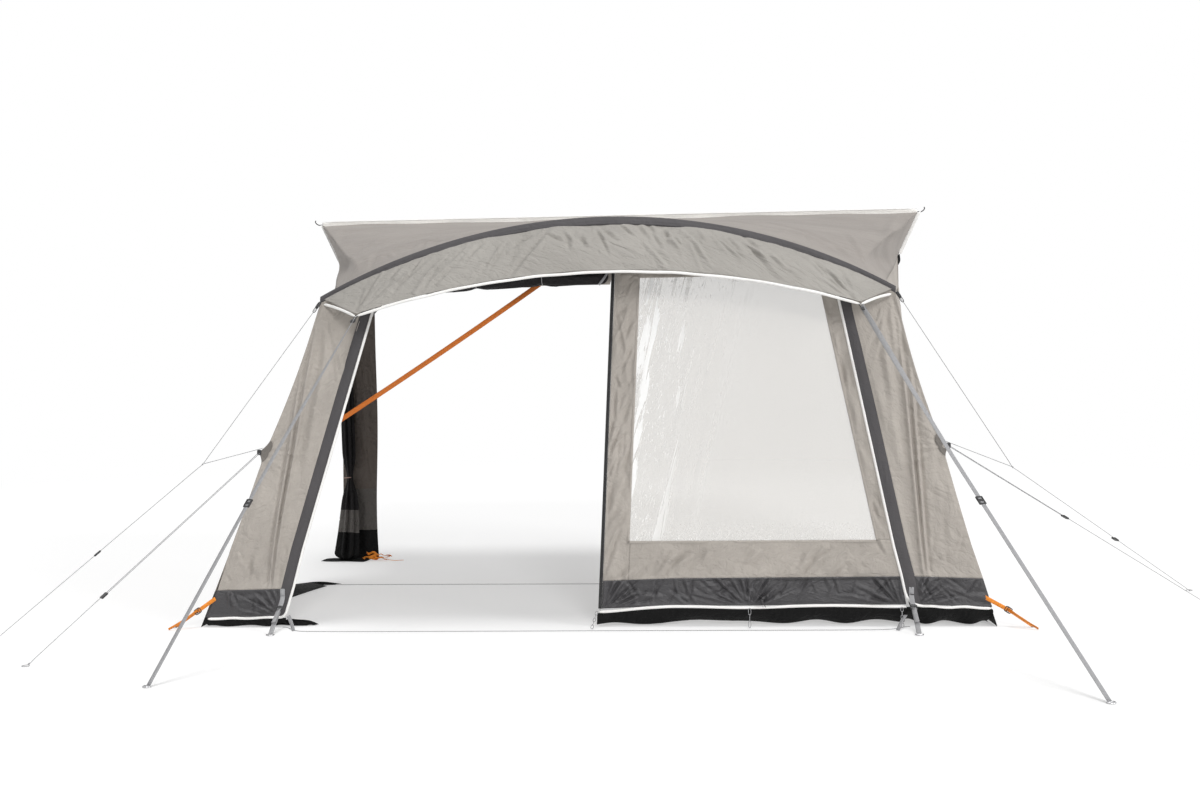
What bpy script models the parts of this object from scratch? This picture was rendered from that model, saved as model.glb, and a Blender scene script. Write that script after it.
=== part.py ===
"""Inflatable caravan awning, pitched with its left front door rolled up.

Metres, +Z up. +Y points to the caravan, so the front faces -Y. The origin is on the floor below the middle.
Front pieces are laid out as if the awning stood true, and front_x then leans them with the front arch.
"""
import math

import bmesh
import bpy
from mathutils import Matrix, Vector

# Whole awning
DEPTH = 2.50                 # front plane to the caravan's side
RAIL_HEIGHT = 2.38           # height of the caravan's awning rail
RAIL_HALF = 2.09             # half the length of the beading line
NOTCH_HALF = 1.955           # half width where the roof edge meets the rear upright
NOTCH_DROP = 0.29            # from the rail down to that place
REAR_FOOT_HALF = 1.975
CROWN_HEIGHT = 2.078         # top of the front arch
HIP_HALF = 1.457             # half width of the front arch at its tips
HIP_HEIGHT = 1.700
BASE_HALF = 2.03             # half width of the front at the floor
FRONT_LEAN = 0.11            # the arch leans this far to the right at crown height
FRONT_SHIFT = 0.02           # and its feet stand this far to the left

# Sheets, seams and clearances
GAP = 0.0003
SHEET = 0.0025
ROOF_SHEET = 0.003
FILM = 0.001
FLOOR_GAP = 0.0005
OVERRUN = 0.020

# Front panels
ARCH_TRIM = 0.033
LEG_FOOT_HALF = 1.607
LEG_INSET_SHARE = 0.202745367  # the leg line passes this far inside the hip, per half width there
LEG_TRIM = 0.058
PIPING_RADIUS = 0.006
HEM_HEIGHT = 0.078
MUD_TOP = 0.225
HINGE_HEIGHT = 1.80          # top seam of the front right panel
PANEL_LEFT = 0.035
PANEL_LIFT = 0.005
ZIP_WIDTH = 0.018
WINDOW_LEFT = 0.18
WINDOW_LOW = 0.436
WINDOW_TOP = 1.765
WINDOW_MARGIN = 0.08
ROLL_BACK = 1.735            # lower edge of the header behind the rolled door
TAB_LOW = 0.865
TAB_HEIGHT = 0.905
TAB_TOP = 0.975
TAB_REACH = 0.028
UPPER_SCALLOP = 0.016
LOWER_SCALLOP = 0.006

# Zip slider
SLIDER_HALF = 0.007
SLIDER_BODY = 0.020
SLIDER_TAIL = 0.026
SLIDER_TAIL_HALF = 0.004
SLIDER_THICK = 0.006
SLIDER_HEIGHT = 0.150

# Visor
VISOR_REACH = 0.20
VISOR_TIP_HALF = 1.24
VISOR_TIP_HEIGHT = 1.607
VISOR_MID_HEIGHT = 1.791
VISOR_HIP_INSET = 0.022
VISOR_BILLOW = 0.018
VISOR_PIPING_RADIUS = 0.007

# Roof and rail
ROOF_SAG = 0.020
RAIL_SHARE = 0.86            # share of the half roof that runs to the straight rail
SLOPE_SHARE = 0.45           # most that a sheet leans into the seam at its end, per thickness
BEAD_RADIUS = 0.004
BEAD_STRIP = 0.0024
STRIP_LOW = 0.010
STRIP_HIGH = 0.022

# Sides and rear
DOOR_GAP = 0.001
LINTEL_GAP = 0.002           # lets the door's sloping top pass under the wall as it turns
DOOR_LIFT_SHARE = 0.012
RETURN_INNER = 1.72
RETURN_DROP = 0.020
PAD_DEPTH = 0.035
PAD_INNER = 1.835
PAD_OUTER = 1.980
PAD_RISE = 0.040             # the pads reach this far above the notch
PAD_BEVEL = 0.010

# Rolled and gathered doors
ROLL_RADIUS = 0.043
ROLL_LEFT = 0.98
ROLL_HEIGHT = 1.775
ROLL_DROOP = 0.035
ROLL_END_GAP = 0.012
ROLL_PINCH_SHARE = 0.20
GATHER_X = 1.912
GATHER_RADIUS = 0.040
GATHER_LOW = 0.010
GATHER_TOP = 1.880
GATHER_FOLD_SHARE = 0.24
GATHER_TIE_SHARE = 0.31
GATHER_WAIST_SHARE = 0.58

# Air beam
BEAM_RADIUS = 0.062
BEAM_OFFSET = 0.070
BEAM_FOOT = 0.022
BEAM_LEG_TOP = 1.46
BEAM_ARCH_HALF = 1.02
BEAM_DROP = 0.004
VALVE_HEIGHT = 0.42
VALVE_RADIUS = 0.014
VALVE_LENGTH = 0.018
CAP_RADIUS = 0.020
CAP_LENGTH = 0.014
CAP_END = 0.003
CAP_PLAY = 0.0008

# Tension band
BAND_WIDTH = 0.025
BAND_SHEET = 0.0012
BAND_LOW_X = 1.404
BAND_LOW_Z = 1.020
BAND_HIGH_X = 0.020
BAND_HIGH_Z = 1.962

# Storm straps, foot straps and corner straps
WEB_WIDTH = 0.025
WEB_SHEET = 0.0018
STORM_BUCKLE_SHARE = 0.55
BUCKLE_LENGTH = 0.042
BUCKLE_WIDTH = 0.036
BUCKLE_HEIGHT = 0.008
BUCKLE_WINDOW = 0.010
SLOT_PLAY = 0.0006
RING_WIRE = 0.0030
RING_HALF = 0.019
RING_BOW = 0.021
RING_LIFT = 0.0035
FOOT_X = 1.600
FOOT_TOP = 0.200
FOOT_BEND = 0.150
FOOT_RING_OUT = 0.205
CORNER_WIDTH = 0.020
CORNER_START_X = 1.955
CORNER_START_Z = 0.150
CORNER_END_X = 2.185
CORNER_END_Z = 0.014

# Guys and ground cords
CORD_RADIUS = 0.0015
EYE_RADIUS = 0.016
TURN_RADIUS = 0.007
BEND_RUN = 0.05              # straight run kept on both sides of a bend in a taut line
RUNNER_LENGTH = 0.036
RUNNER_WIDTH = 0.026
RUNNER_HEIGHT = 0.009
BORE_PLAY = 0.0004
TAIL_INSET = 0.004

# Counts
ARCH_CELLS = 56
ROOF_CELLS = 24
ROOF_EDGE_CELLS = 12         # one cell in this many lies beyond each end of the rail
ROOF_DEPTH_CELLS = 8
DEPTH_CELLS = 11
JAMB_CELLS = 6
HEIGHT_CELLS = 12
ROLL_POINTS = 25
ROLL_TIES = 3
GATHER_LOBES = 7
GATHER_SIDES = 42
GATHER_RINGS = 16
CAP_GRIPS = 12
EYE_STEPS = 5

FRONT_Y = -(DEPTH + PAD_DEPTH - FOOT_RING_OUT - RING_BOW - RING_WIRE) / 2
REAR_Y = FRONT_Y + DEPTH
SEAM_Y = FRONT_Y + SHEET / 2 + GAP + ROOF_SHEET * SLOPE_SHARE / 2
BAND_Y = FRONT_Y + PIPING_RADIUS + GAP + BAND_SHEET / 2
BEAM_Y = BAND_Y + BAND_SHEET / 2 + GAP + BEAM_RADIUS
NOTCH_HEIGHT = RAIL_HEIGHT - NOTCH_DROP
PAD_TOP = NOTCH_HEIGHT + PAD_RISE
LEG_SLOPE_SHARE = (LEG_FOOT_HALF - HIP_HALF * (1 - LEG_INSET_SHARE)) / HIP_HEIGHT
PIPING_SIDE = PIPING_RADIUS * math.sqrt(1 + LEG_SLOPE_SHARE ** 2)
SIDES = (("left", -1.0), ("right", 1.0))

# Cord routes: x, distance in front of the front plane, height
STORM_RINGS = {"left": (-1.778, 1.271, 0.0035), "right": (2.069, 1.484, 0.0035)}
UPPER_GUYS = {
    "left": [(-1.3912, 0.0005, 1.6665), (-1.965, 0.143, 0.857), (-2.914, 0.506, 0.0015)],
    "right": [(1.5336, 0.0005, 1.6665), (2.160, -0.281, 0.774), (3.340, -1.035, 0.0015)],
}
BRANCH_STARTS = {"left": (-1.7034, 0.0, 0.9263), "right": (1.7613, 0.0, 0.9263)}
LOWER_GUYS = {
    "left": [(-1.7203, 0.0014, 0.9035), (-2.511, 0.868, 0.0015)],
    "right": [(1.7768, -0.0007, 0.9038), (3.257, -0.528, 0.0015)],
}
UPPER_RUNNER_SHARES = {"left": 0.497, "right": 0.560}
LOWER_RUNNER_SHARES = {"left": 0.700, "right": 0.425}
THRESHOLD_ROUTE = [
    (-1.615, 0.0031, 0.0015), (-1.590, 0.012, 0.0015), (-1.553, 0.058, 0.0015), (-1.500, 0.106, 0.0015),
    (-1.350, 0.118, 0.0015), (0.0, 0.104, 0.0015), (1.320, 0.086, 0.0015), (1.440, 0.078, 0.0015),
    (1.510, 0.050, 0.0015), (1.552, 0.012, 0.0015), (1.580, 0.0031, 0.0015),
]

# Colour, roughness and metallic value of each material
MATERIALS = {
    "awning_fabric": ((0.37, 0.345, 0.315), 0.75, 0.0),
    "visor_fabric": ((0.40, 0.385, 0.365), 0.72, 0.0),
    "dark_trim": ((0.075, 0.072, 0.076), 0.70, 0.0),
    "mud_fabric": ((0.068, 0.065, 0.069), 0.65, 0.0),
    "black_flap": ((0.007, 0.007, 0.008), 0.45, 0.0),
    "white_piping": ((0.82, 0.81, 0.79), 0.50, 0.0),
    "cream_beading": ((0.78, 0.74, 0.67), 0.60, 0.0),
    "window_film": ((0.72, 0.70, 0.67), 0.15, 0.0),
    "orange_band": ((0.58, 0.14, 0.013), 0.60, 0.0),
    "orange_webbing": ((0.88, 0.29, 0.020), 0.60, 0.0),
    "grey_webbing": ((0.27, 0.27, 0.28), 0.65, 0.0),
    "guy_cord": ((0.28, 0.28, 0.29), 0.70, 0.0),
    "black_plastic": ((0.015, 0.015, 0.016), 0.40, 0.0),
    "ring_metal": ((0.45, 0.45, 0.46), 0.30, 1.0),
    "air_beam": ((0.09, 0.09, 0.10), 0.50, 0.0),
    "pad_foam": ((0.012, 0.012, 0.013), 0.80, 0.0),
}


def clear_scene():
    for old in list(bpy.data.objects):
        bpy.data.objects.remove(old)


def collection_named(name):
    group = bpy.data.collections.new(name)
    bpy.context.scene.collection.children.link(group)
    return group


def material_named(name):
    found = bpy.data.materials.get(name)
    if found:
        return found
    colour, roughness, metallic = MATERIALS[name]
    made = bpy.data.materials.new(name)
    made.use_nodes = True
    shader = made.node_tree.nodes["Principled BSDF"]
    shader.inputs["Base Color"].default_value = (*colour, 1.0)
    shader.inputs["Roughness"].default_value = roughness
    shader.inputs["Metallic"].default_value = metallic
    return made


clear_scene()
PARTS = collection_named("caravan_awning")
CUTTERS = collection_named("cutters")


def add_object(name, data, material, group=PARTS):
    made = bpy.data.objects.new(name, data)
    group.objects.link(made)
    if material:
        data.materials.append(material_named(material))
    return made


def guide(made):
    """Marks a cutter or a section as something that is not part of the model."""
    made.hide_render = True
    made.display_type = "WIRE"
    return made


def mesh_object(name, bm, material, group=PARTS):
    data = bpy.data.meshes.new(name)
    bm.to_mesh(data)
    bm.free()
    return add_object(name, data, material, group)


def pivot(name, place):
    """An empty on a joint's axis, for the pieces that turn about it."""
    made = bpy.data.objects.new(name, None)
    PARTS.objects.link(made)
    made.location = place
    return made


def hang(piece, carrier):
    piece.parent = carrier
    piece.location -= carrier.location


def mix(start, end, share):
    return start + (end - start) * share


def steps_between(start, end, steps):
    return [mix(start, end, i / steps) for i in range(steps + 1)]


def front_x(x, z):
    """World x of a front point laid out true: the arch leans right with height."""
    return x - FRONT_SHIFT + FRONT_LEAN * z / CROWN_HEIGHT


def front_point(x, z, out=0.0):
    return Vector((front_x(x, z), FRONT_Y - out, z))


ARCH_RISE = CROWN_HEIGHT - HIP_HEIGHT
ARCH_RADIUS = (HIP_HALF ** 2 + ARCH_RISE ** 2) / (2 * ARCH_RISE)


def arch_height(x):
    return CROWN_HEIGHT - ARCH_RADIUS + math.sqrt(ARCH_RADIUS ** 2 - x ** 2)


def arch_under(x):
    return arch_height(x) - ARCH_TRIM


def below_trim(x):
    return arch_under(x) - GAP


def leg_x(z):
    return LEG_FOOT_HALF - LEG_SLOPE_SHARE * z


def leg_meets_arch(offset):
    """x where the line that runs beside the leg line reaches the underside of the arch trim."""
    x = leg_x(HINGE_HEIGHT) + offset
    for _ in range(20):
        x = leg_x(below_trim(x)) + offset
    return x


def outer_x(z):
    """Outer edge of a wing wall: straight from foot to hip, drawn in between its three fixed points."""
    hip = arch_under(HIP_HALF)
    edge = mix(BASE_HALF, HIP_HALF, z / hip)
    if z > TAB_HEIGHT:
        return edge - UPPER_SCALLOP * math.sin(math.pi * (z - TAB_HEIGHT) / (hip - TAB_HEIGHT))
    return edge - LOWER_SCALLOP * math.sin(math.pi * z / TAB_HEIGHT)


def along_arch(start, end, steps, height):
    return [(x, height(x)) for x in steps_between(start, end, steps)]


def sided(side, points):
    return [(side * x, z) for x, z in points]


def flat_piece(name, loops, thickness, material, y=FRONT_Y, leaned=True):
    """A flat outline with its holes, standing in the plane y, as a filled 2D curve."""
    data = bpy.data.curves.new(name, "CURVE")
    data.dimensions = "2D"
    data.fill_mode = "BOTH"
    data.extrude = thickness / 2
    for loop in loops:
        spline = data.splines.new("POLY")
        spline.points.add(len(loop) - 1)
        for point, (x, z) in zip(spline.points, loop):
            point.co = (front_x(x, z) if leaned else x, z, 0.0, 1.0)
        spline.use_cyclic_u = True
    made = add_object(name, data, material)
    made.location.y = y
    made.rotation_euler.x = math.radians(90)
    return made


def shell(name, cells_u, cells_v, surface, thickness, material, keep=None, origin=None):
    """A sheet of even thickness about surface(u, v), built on a grid of u and v from 0 to 1."""
    bm = bmesh.new()
    bmesh.ops.create_grid(bm, x_segments=cells_u, y_segments=cells_v, size=0.5)
    half = Vector((0.5, 0.5, 0.0))
    if keep:
        centres = {face: face.calc_center_median() + half for face in bm.faces}
        dropped = [face for face, centre in centres.items() if not keep(centre.x, centre.y)]
        bmesh.ops.delete(bm, geom=dropped, context="FACES")
    place = origin or Vector()
    for vert in bm.verts:
        share = vert.co + half
        vert.co = surface(share.x, share.y) - place
    made = mesh_object(name, bm, material)
    made.location = place
    modifier = made.modifiers.new("thickness", "SOLIDIFY")
    modifier.thickness = thickness
    modifier.offset = 0.0
    modifier.use_even_offset = True
    return made


def smooth_path(points, steps):
    """Points on a centripetal Catmull-Rom curve, with the given steps between each two of its knots."""
    knots = [Vector(point) for point in points]
    knots = [2 * knots[0] - knots[1], *knots, 2 * knots[-1] - knots[-2]]
    times = [0.0]
    for start, end in zip(knots, knots[1:]):
        times.append(times[-1] + math.sqrt((end - start).length))

    def rate(i, j):
        return (knots[j] - knots[i]) / (times[j] - times[i])

    def slope(i):
        return rate(i - 1, i) - rate(i - 1, i + 1) + rate(i, i + 1)

    path = []
    for i in range(1, len(knots) - 2):
        span = times[i + 1] - times[i]
        for j in range(steps):
            t = j / steps
            path.append(
                knots[i] * (2 * t ** 3 - 3 * t ** 2 + 1) + slope(i) * span * (t ** 3 - 2 * t ** 2 + t)
                + knots[i + 1] * (3 * t ** 2 - 2 * t ** 3) + slope(i + 1) * span * (t ** 3 - t ** 2)
            )
    return [*path, knots[-2]]


def tube(name, points, radius, material, resolution=2, cyclic=False, shares=None):
    data = bpy.data.curves.new(name, "CURVE")
    data.dimensions = "3D"
    data.bevel_depth = radius
    data.bevel_resolution = resolution
    data.use_fill_caps = True
    spline = data.splines.new("POLY")
    spline.points.add(len(points) - 1)
    for i, point in enumerate(points):
        spline.points[i].co = (*point, 1.0)
        spline.points[i].radius = shares[i] if shares else 1.0
    spline.use_cyclic_u = cyclic
    return add_object(name, data, material)


def box(name, size, material, group=PARTS, centre=Vector()):
    bm = bmesh.new()
    bmesh.ops.create_cube(bm, size=1.0)
    bmesh.ops.scale(bm, vec=size, verts=bm.verts)
    bmesh.ops.translate(bm, vec=centre, verts=bm.verts)
    return mesh_object(name, bm, material, group)


def rod(name, radius, length, sides, material, group=PARTS):
    bm = bmesh.new()
    bmesh.ops.create_cone(bm, cap_ends=True, segments=sides, radius1=radius, radius2=radius, depth=length)
    made = mesh_object(name, bm, material, group)
    made.data.shade_smooth()
    made.data.set_sharp_from_angle(angle=math.radians(40))
    return made


def cut(target, cutter):
    modifier = target.modifiers.new("cut", "BOOLEAN")
    modifier.object = guide(cutter)
    modifier.solver = "EXACT"


def soften(target, width, segments=2):
    modifier = target.modifiers.new("soft_edges", "BEVEL")
    modifier.width = width
    modifier.segments = segments
    modifier.limit_method = "ANGLE"


def axes_at(place, across, along):
    """A turned place whose X runs across, Y along and Z square to both."""
    along = along.normalized()
    across = (across - along * across.dot(along)).normalized()
    turned = Matrix((across, along, across.cross(along))).transposed()
    return Matrix.Translation(place) @ turned.to_4x4()


def level_across(ahead):
    """The level direction square to a line, to its left."""
    return Vector((-ahead.y, ahead.x, 0.0)).normalized()


def roof_share(u):
    """Roof grid share to arch share, so that grid lines fall on the rail's two ends."""
    edge = 1 / ROOF_EDGE_CELLS
    if u < edge:
        return mix(-1.0, -RAIL_SHARE, u / edge)
    if u > 1 - edge:
        return mix(RAIL_SHARE, 1.0, (u - 1 + edge) / edge)
    return mix(-RAIL_SHARE, RAIL_SHARE, (u - edge) / (1 - 2 * edge))


def roof_rear(share):
    side = math.copysign(1.0, share)
    reach = abs(share)
    y = REAR_Y - GAP - ROOF_SHEET * SLOPE_SHARE / 2
    if reach <= RAIL_SHARE:
        return Vector((side * RAIL_HALF * reach / RAIL_SHARE, y, RAIL_HEIGHT))
    drop = (reach - RAIL_SHARE) / (1 - RAIL_SHARE)
    return Vector((side * mix(RAIL_HALF, NOTCH_HALF, drop), y, mix(RAIL_HEIGHT, NOTCH_HEIGHT, drop)))


def build_roof():
    def surface(u, v):
        share = roof_share(u)
        x = HIP_HALF * share
        height = arch_height(x) - ROOF_SHEET / 2
        front = Vector((front_x(x, height), SEAM_Y, height))
        place = mix(front, roof_rear(share), v)
        place.z -= ROOF_SAG * 4 * v * (1 - v) * (1 - share ** 2)
        return place

    shell("roof_panel", ROOF_CELLS, ROOF_DEPTH_CELLS, surface, ROOF_SHEET, "awning_fabric")
    upper = along_arch(-HIP_HALF, HIP_HALF, ARCH_CELLS, arch_height)
    lower = along_arch(HIP_HALF, -HIP_HALF, ARCH_CELLS, arch_under)
    flat_piece("roof_trim", [upper + lower], SHEET, "dark_trim")


def build_beading():
    """Keyhole section, a round bead on a flat strip, run along the rail line."""
    turn = math.asin(BEAD_STRIP / 2 / BEAD_RADIUS)
    low = RAIL_HEIGHT - STRIP_LOW
    top = RAIL_HEIGHT + STRIP_HIGH
    centre = top + BEAD_RADIUS * math.cos(turn)
    middle = REAR_Y + BEAD_STRIP / 2
    bead = [
        (middle + BEAD_RADIUS * math.sin(angle), centre + BEAD_RADIUS * math.cos(angle))
        for angle in steps_between(turn - math.pi, math.pi - turn, 12)
    ]
    section = [(REAR_Y, low), (REAR_Y, top), *bead[1:-1], (REAR_Y + BEAD_STRIP, top), (REAR_Y + BEAD_STRIP, low)]
    data = bpy.data.curves.new("rail_beading", "CURVE")
    data.dimensions = "2D"
    data.fill_mode = "BOTH"
    data.extrude = RAIL_HALF
    spline = data.splines.new("POLY")
    spline.points.add(len(section) - 1)
    for point, (y, z) in zip(spline.points, section):
        point.co = (y, z, 0.0, 1.0)
    spline.use_cyclic_u = True
    made = add_object("rail_beading", data, "cream_beading")
    made.rotation_euler = (math.radians(90), 0.0, math.radians(90))


def visor_low(x):
    drop = (VISOR_MID_HEIGHT - VISOR_TIP_HEIGHT) / VISOR_TIP_HALF ** 2
    return VISOR_MID_HEIGHT - drop * x ** 2


VISOR_PIPING_DROP = VISOR_PIPING_RADIUS + SHEET / 2 + GAP


def visor_tip(side):
    """Middle of the piping at a lower corner of the visor."""
    return front_point(side * VISOR_TIP_HALF, VISOR_TIP_HEIGHT - 1.5 * VISOR_PIPING_DROP, VISOR_REACH)


def build_visor():
    """From the arch trim's lower edge forward and down to the piped edge."""
    hip_x = HIP_HALF - VISOR_HIP_INSET

    def surface(u, v):
        share = 2 * u - 1
        high = front_point(share * hip_x, below_trim(share * hip_x), SHEET + GAP)
        low = front_point(share * VISOR_TIP_HALF, visor_low(share * VISOR_TIP_HALF), VISOR_REACH)
        billow = VISOR_BILLOW * math.sin(math.pi * v) * (1 - share ** 4)
        return mix(high, low, v) + Vector((0.0, -billow, billow))

    shell("front_visor", 24, 4, surface, SHEET, "visor_fabric")

    below = VISOR_PIPING_DROP

    def side_edge(side):
        hip = front_point(side * hip_x, below_trim(hip_x) - 2 * below, SHEET + GAP + below)
        return steps_between(hip, visor_tip(side), 3)[:-1]

    lower = [
        front_point(x, visor_low(x) - below * (1 + abs(x / VISOR_TIP_HALF) ** 8 / 2), VISOR_REACH)
        for x in steps_between(-VISOR_TIP_HALF, VISOR_TIP_HALF, 32)
    ]
    path = side_edge(-1.0) + lower + side_edge(1.0)[::-1]
    tube("visor_piping", path, VISOR_PIPING_RADIUS, "white_piping")


def build_header():
    beside = PIPING_SIDE + GAP
    top_x = leg_meets_arch(-beside)
    outline = [
        (beside - leg_x(ROLL_BACK), ROLL_BACK), (PANEL_LEFT - GAP, ROLL_BACK),
        (PANEL_LEFT - GAP, HINGE_HEIGHT + GAP), (leg_x(HINGE_HEIGHT) - beside, HINGE_HEIGHT + GAP),
        *along_arch(top_x, -top_x, 24, below_trim),
    ]
    flat_piece("front_header", [outline], SHEET, "awning_fabric")


def build_front_panel():
    """The front right panel, which hangs from its top seam, with its window, hem, flap and zip."""
    hinge = pivot("front_panel_hinge", Vector((0.0, FRONT_Y - SHEET / 2, HINGE_HEIGHT)))
    inner = PANEL_LEFT + ZIP_WIDTH + GAP
    top = HINGE_HEIGHT - GAP
    band_low = HEM_HEIGHT + PIPING_RADIUS + GAP
    band_high = MUD_TOP - GAP

    def outer(z):
        return leg_x(z) - PIPING_SIDE - GAP

    def bay(left, low, high):
        return [(left, low), (outer(low), low), (outer(high), high), (left, high)]

    def window_outline(inset):
        low = WINDOW_LOW + inset
        high = WINDOW_TOP - inset
        left = WINDOW_LEFT + inset
        margin = WINDOW_MARGIN + inset * PIPING_SIDE / PIPING_RADIUS
        return [(left, low), (leg_x(low) - margin, low), (leg_x(high) - margin, high), (left, high)]

    panel = [bay(inner, MUD_TOP, top), window_outline(0.0)]
    hang(flat_piece("front_right_panel", panel, SHEET, "awning_fabric"), hinge)
    hang(flat_piece("window_film", [window_outline(GAP)], FILM, "window_film"), hinge)
    hang(flat_piece("panel_mud_band", [bay(inner, band_low, band_high)], SHEET, "mud_fabric"), hinge)
    strip = [
        (PANEL_LEFT, band_low), (PANEL_LEFT + ZIP_WIDTH, band_low),
        (PANEL_LEFT + ZIP_WIDTH, top), (PANEL_LEFT, top),
    ]
    hang(flat_piece("front_zip", [strip], SHEET, "black_plastic"), hinge)
    hem = [front_point(PANEL_LEFT, HEM_HEIGHT), front_point(outer(band_low), HEM_HEIGHT)]
    hang(tube("panel_piping", hem, PIPING_RADIUS, "white_piping"), hinge)
    flap_top = HEM_HEIGHT - PIPING_RADIUS - GAP
    flap_end = leg_x(HEM_HEIGHT) - PIPING_RADIUS - 2 * GAP
    flap = [(PANEL_LEFT, PANEL_LIFT), (flap_end, PANEL_LIFT), (flap_end, flap_top), (PANEL_LEFT, flap_top)]
    hang(flat_piece("panel_mudflap", [flap], SHEET, "black_flap"), hinge)

    middle = PANEL_LEFT + ZIP_WIDTH / 2
    neck = SLIDER_HEIGHT - SLIDER_BODY
    tail = neck - SLIDER_TAIL
    half = [
        (SLIDER_TAIL_HALF, tail), (SLIDER_TAIL_HALF, neck), (SLIDER_HALF, neck), (SLIDER_HALF, SLIDER_HEIGHT),
    ]
    outline = [(middle + x, z) for x, z in half + sided(-1.0, half[::-1])]
    y = FRONT_Y - SHEET / 2 - GAP - SLIDER_THICK / 2
    hang(flat_piece("zip_slider", [outline], SLIDER_THICK, "black_plastic", y=y), hinge)


def build_wing(name, side):
    trim_in = PIPING_SIDE + GAP
    trim_out = trim_in + LEG_TRIM
    wing_in = trim_out + GAP
    hip = below_trim(HIP_HALF)
    lower_edge = [(outer_x(z), z) for z in steps_between(MUD_TOP, TAB_LOW, 4)]
    upper_edge = [(outer_x(z), z) for z in steps_between(TAB_TOP, hip, 8)]
    tab = (outer_x(TAB_HEIGHT) + TAB_REACH, TAB_HEIGHT)
    wing = [
        (leg_x(MUD_TOP) + wing_in, MUD_TOP), *lower_edge, tab, *upper_edge,
        *along_arch(HIP_HALF, leg_meets_arch(wing_in), 6, below_trim)[1:],
    ]
    flat_piece(f"{name}_wing_wall", [sided(side, wing)], SHEET, "awning_fabric")

    band_low = HEM_HEIGHT + PIPING_RADIUS + GAP
    trim = [
        (leg_x(band_low) + trim_in, band_low), (leg_x(band_low) + trim_out, band_low),
        *along_arch(leg_meets_arch(trim_out), leg_meets_arch(trim_in), 3, below_trim),
    ]
    flat_piece(f"{name}_leg_trim", [sided(side, trim)], SHEET, "dark_trim")

    band_high = MUD_TOP - GAP
    band = [
        (leg_x(band_low) + wing_in, band_low), (outer_x(band_low), band_low),
        (outer_x(band_high), band_high), (leg_x(band_high) + wing_in, band_high),
    ]
    flat_piece(f"{name}_mud_band", [sided(side, band)], SHEET, "mud_fabric")

    flap_top = HEM_HEIGHT - PIPING_RADIUS - GAP
    flap_in = leg_x(HEM_HEIGHT) - PIPING_RADIUS
    flap = [(flap_in, FLOOR_GAP), (BASE_HALF, FLOOR_GAP), (outer_x(flap_top), flap_top), (flap_in, flap_top)]
    flat_piece(f"{name}_mudflap", [sided(side, flap)], SHEET, "black_flap")

    top_x = leg_meets_arch(PIPING_SIDE) + PIPING_RADIUS
    top = arch_under(top_x) - PIPING_RADIUS
    path = [front_point(side * leg_x(z), z) for z in steps_between(top, HEM_HEIGHT, 8)]
    end = outer_x(HEM_HEIGHT + PIPING_RADIUS) - SHEET - GAP
    path.append(front_point(side * end, HEM_HEIGHT))
    tube(f"{name}_leg_piping", path, PIPING_RADIUS, "white_piping")


def wall_point(side, height_share, depth_share):
    """Middle of a side wall, ruled between the wing's outer edge and the rear upright."""
    front_height = max(height_share * (HIP_HEIGHT - 2 * ROOF_SHEET), FLOOR_GAP)
    rear_height = max(height_share * (NOTCH_HEIGHT - 2 * ROOF_SHEET), FLOOR_GAP)
    edge = outer_x(min(front_height, arch_under(HIP_HALF))) - SHEET / 2
    front = Vector((front_x(side * edge, front_height), SEAM_Y, front_height))
    rear_x = mix(REAR_FOOT_HALF, NOTCH_HALF, height_share) - SHEET / 2
    rear = Vector((side * rear_x, REAR_Y, rear_height))
    return mix(front, rear, depth_share)


REAR_EDGE_SHARE = 1 - (SHEET + 2 * GAP) / DEPTH
JAMB_SHARE = REAR_EDGE_SHARE * JAMB_CELLS / DEPTH_CELLS
LINTEL_SHARE = 1 - 1 / HEIGHT_CELLS


def build_side_wall(name, side):
    def surface(u, v):
        return wall_point(side, u, v * REAR_EDGE_SHARE)

    def keep(u, v):
        return u > LINTEL_SHARE or v < JAMB_CELLS / DEPTH_CELLS

    shell(f"{name}_side_wall", HEIGHT_CELLS, DEPTH_CELLS, surface, SHEET, "awning_fabric", keep)

    def rear_x(z):
        return mix(REAR_FOOT_HALF, NOTCH_HALF, z / NOTCH_HEIGHT)

    top = NOTCH_HEIGHT - RETURN_DROP
    back = [(RETURN_INNER, FLOOR_GAP), (rear_x(0), FLOOR_GAP), (rear_x(top), top), (RETURN_INNER, top)]
    flat_piece(
        f"{name}_rear_return", [sided(side, back)], SHEET, "dark_trim", y=REAR_Y - SHEET / 2, leaned=False,
    )
    depth = PAD_DEPTH - GAP
    pad = box(f"{name}_wall_pad", (PAD_OUTER - PAD_INNER, depth, PAD_TOP), "pad_foam")
    pad.location = (side * (PAD_INNER + PAD_OUTER) / 2, REAR_Y + GAP + depth / 2, PAD_TOP / 2)
    soften(pad, PAD_BEVEL)


def build_side_door():
    """The right side door, closed: the piece of wall that fills the opening and turns at its rear edge."""
    cells = DEPTH_CELLS - JAMB_CELLS
    jamb = JAMB_SHARE + DOOR_GAP / DEPTH

    def surface(u, v):
        height = mix(DOOR_LIFT_SHARE, LINTEL_SHARE - LINTEL_GAP / HIP_HEIGHT, u)
        return wall_point(1.0, height, mix(jamb, REAR_EDGE_SHARE, v))

    hinge = wall_point(1.0, 0.0, REAR_EDGE_SHARE) + Vector((SHEET / 2, 0.0, 0.0))
    shell(
        "right_side_door", HEIGHT_CELLS - 1, cells, surface, SHEET, "awning_fabric",
        origin=Vector((hinge.x, hinge.y, 0.0)),
    )


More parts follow.
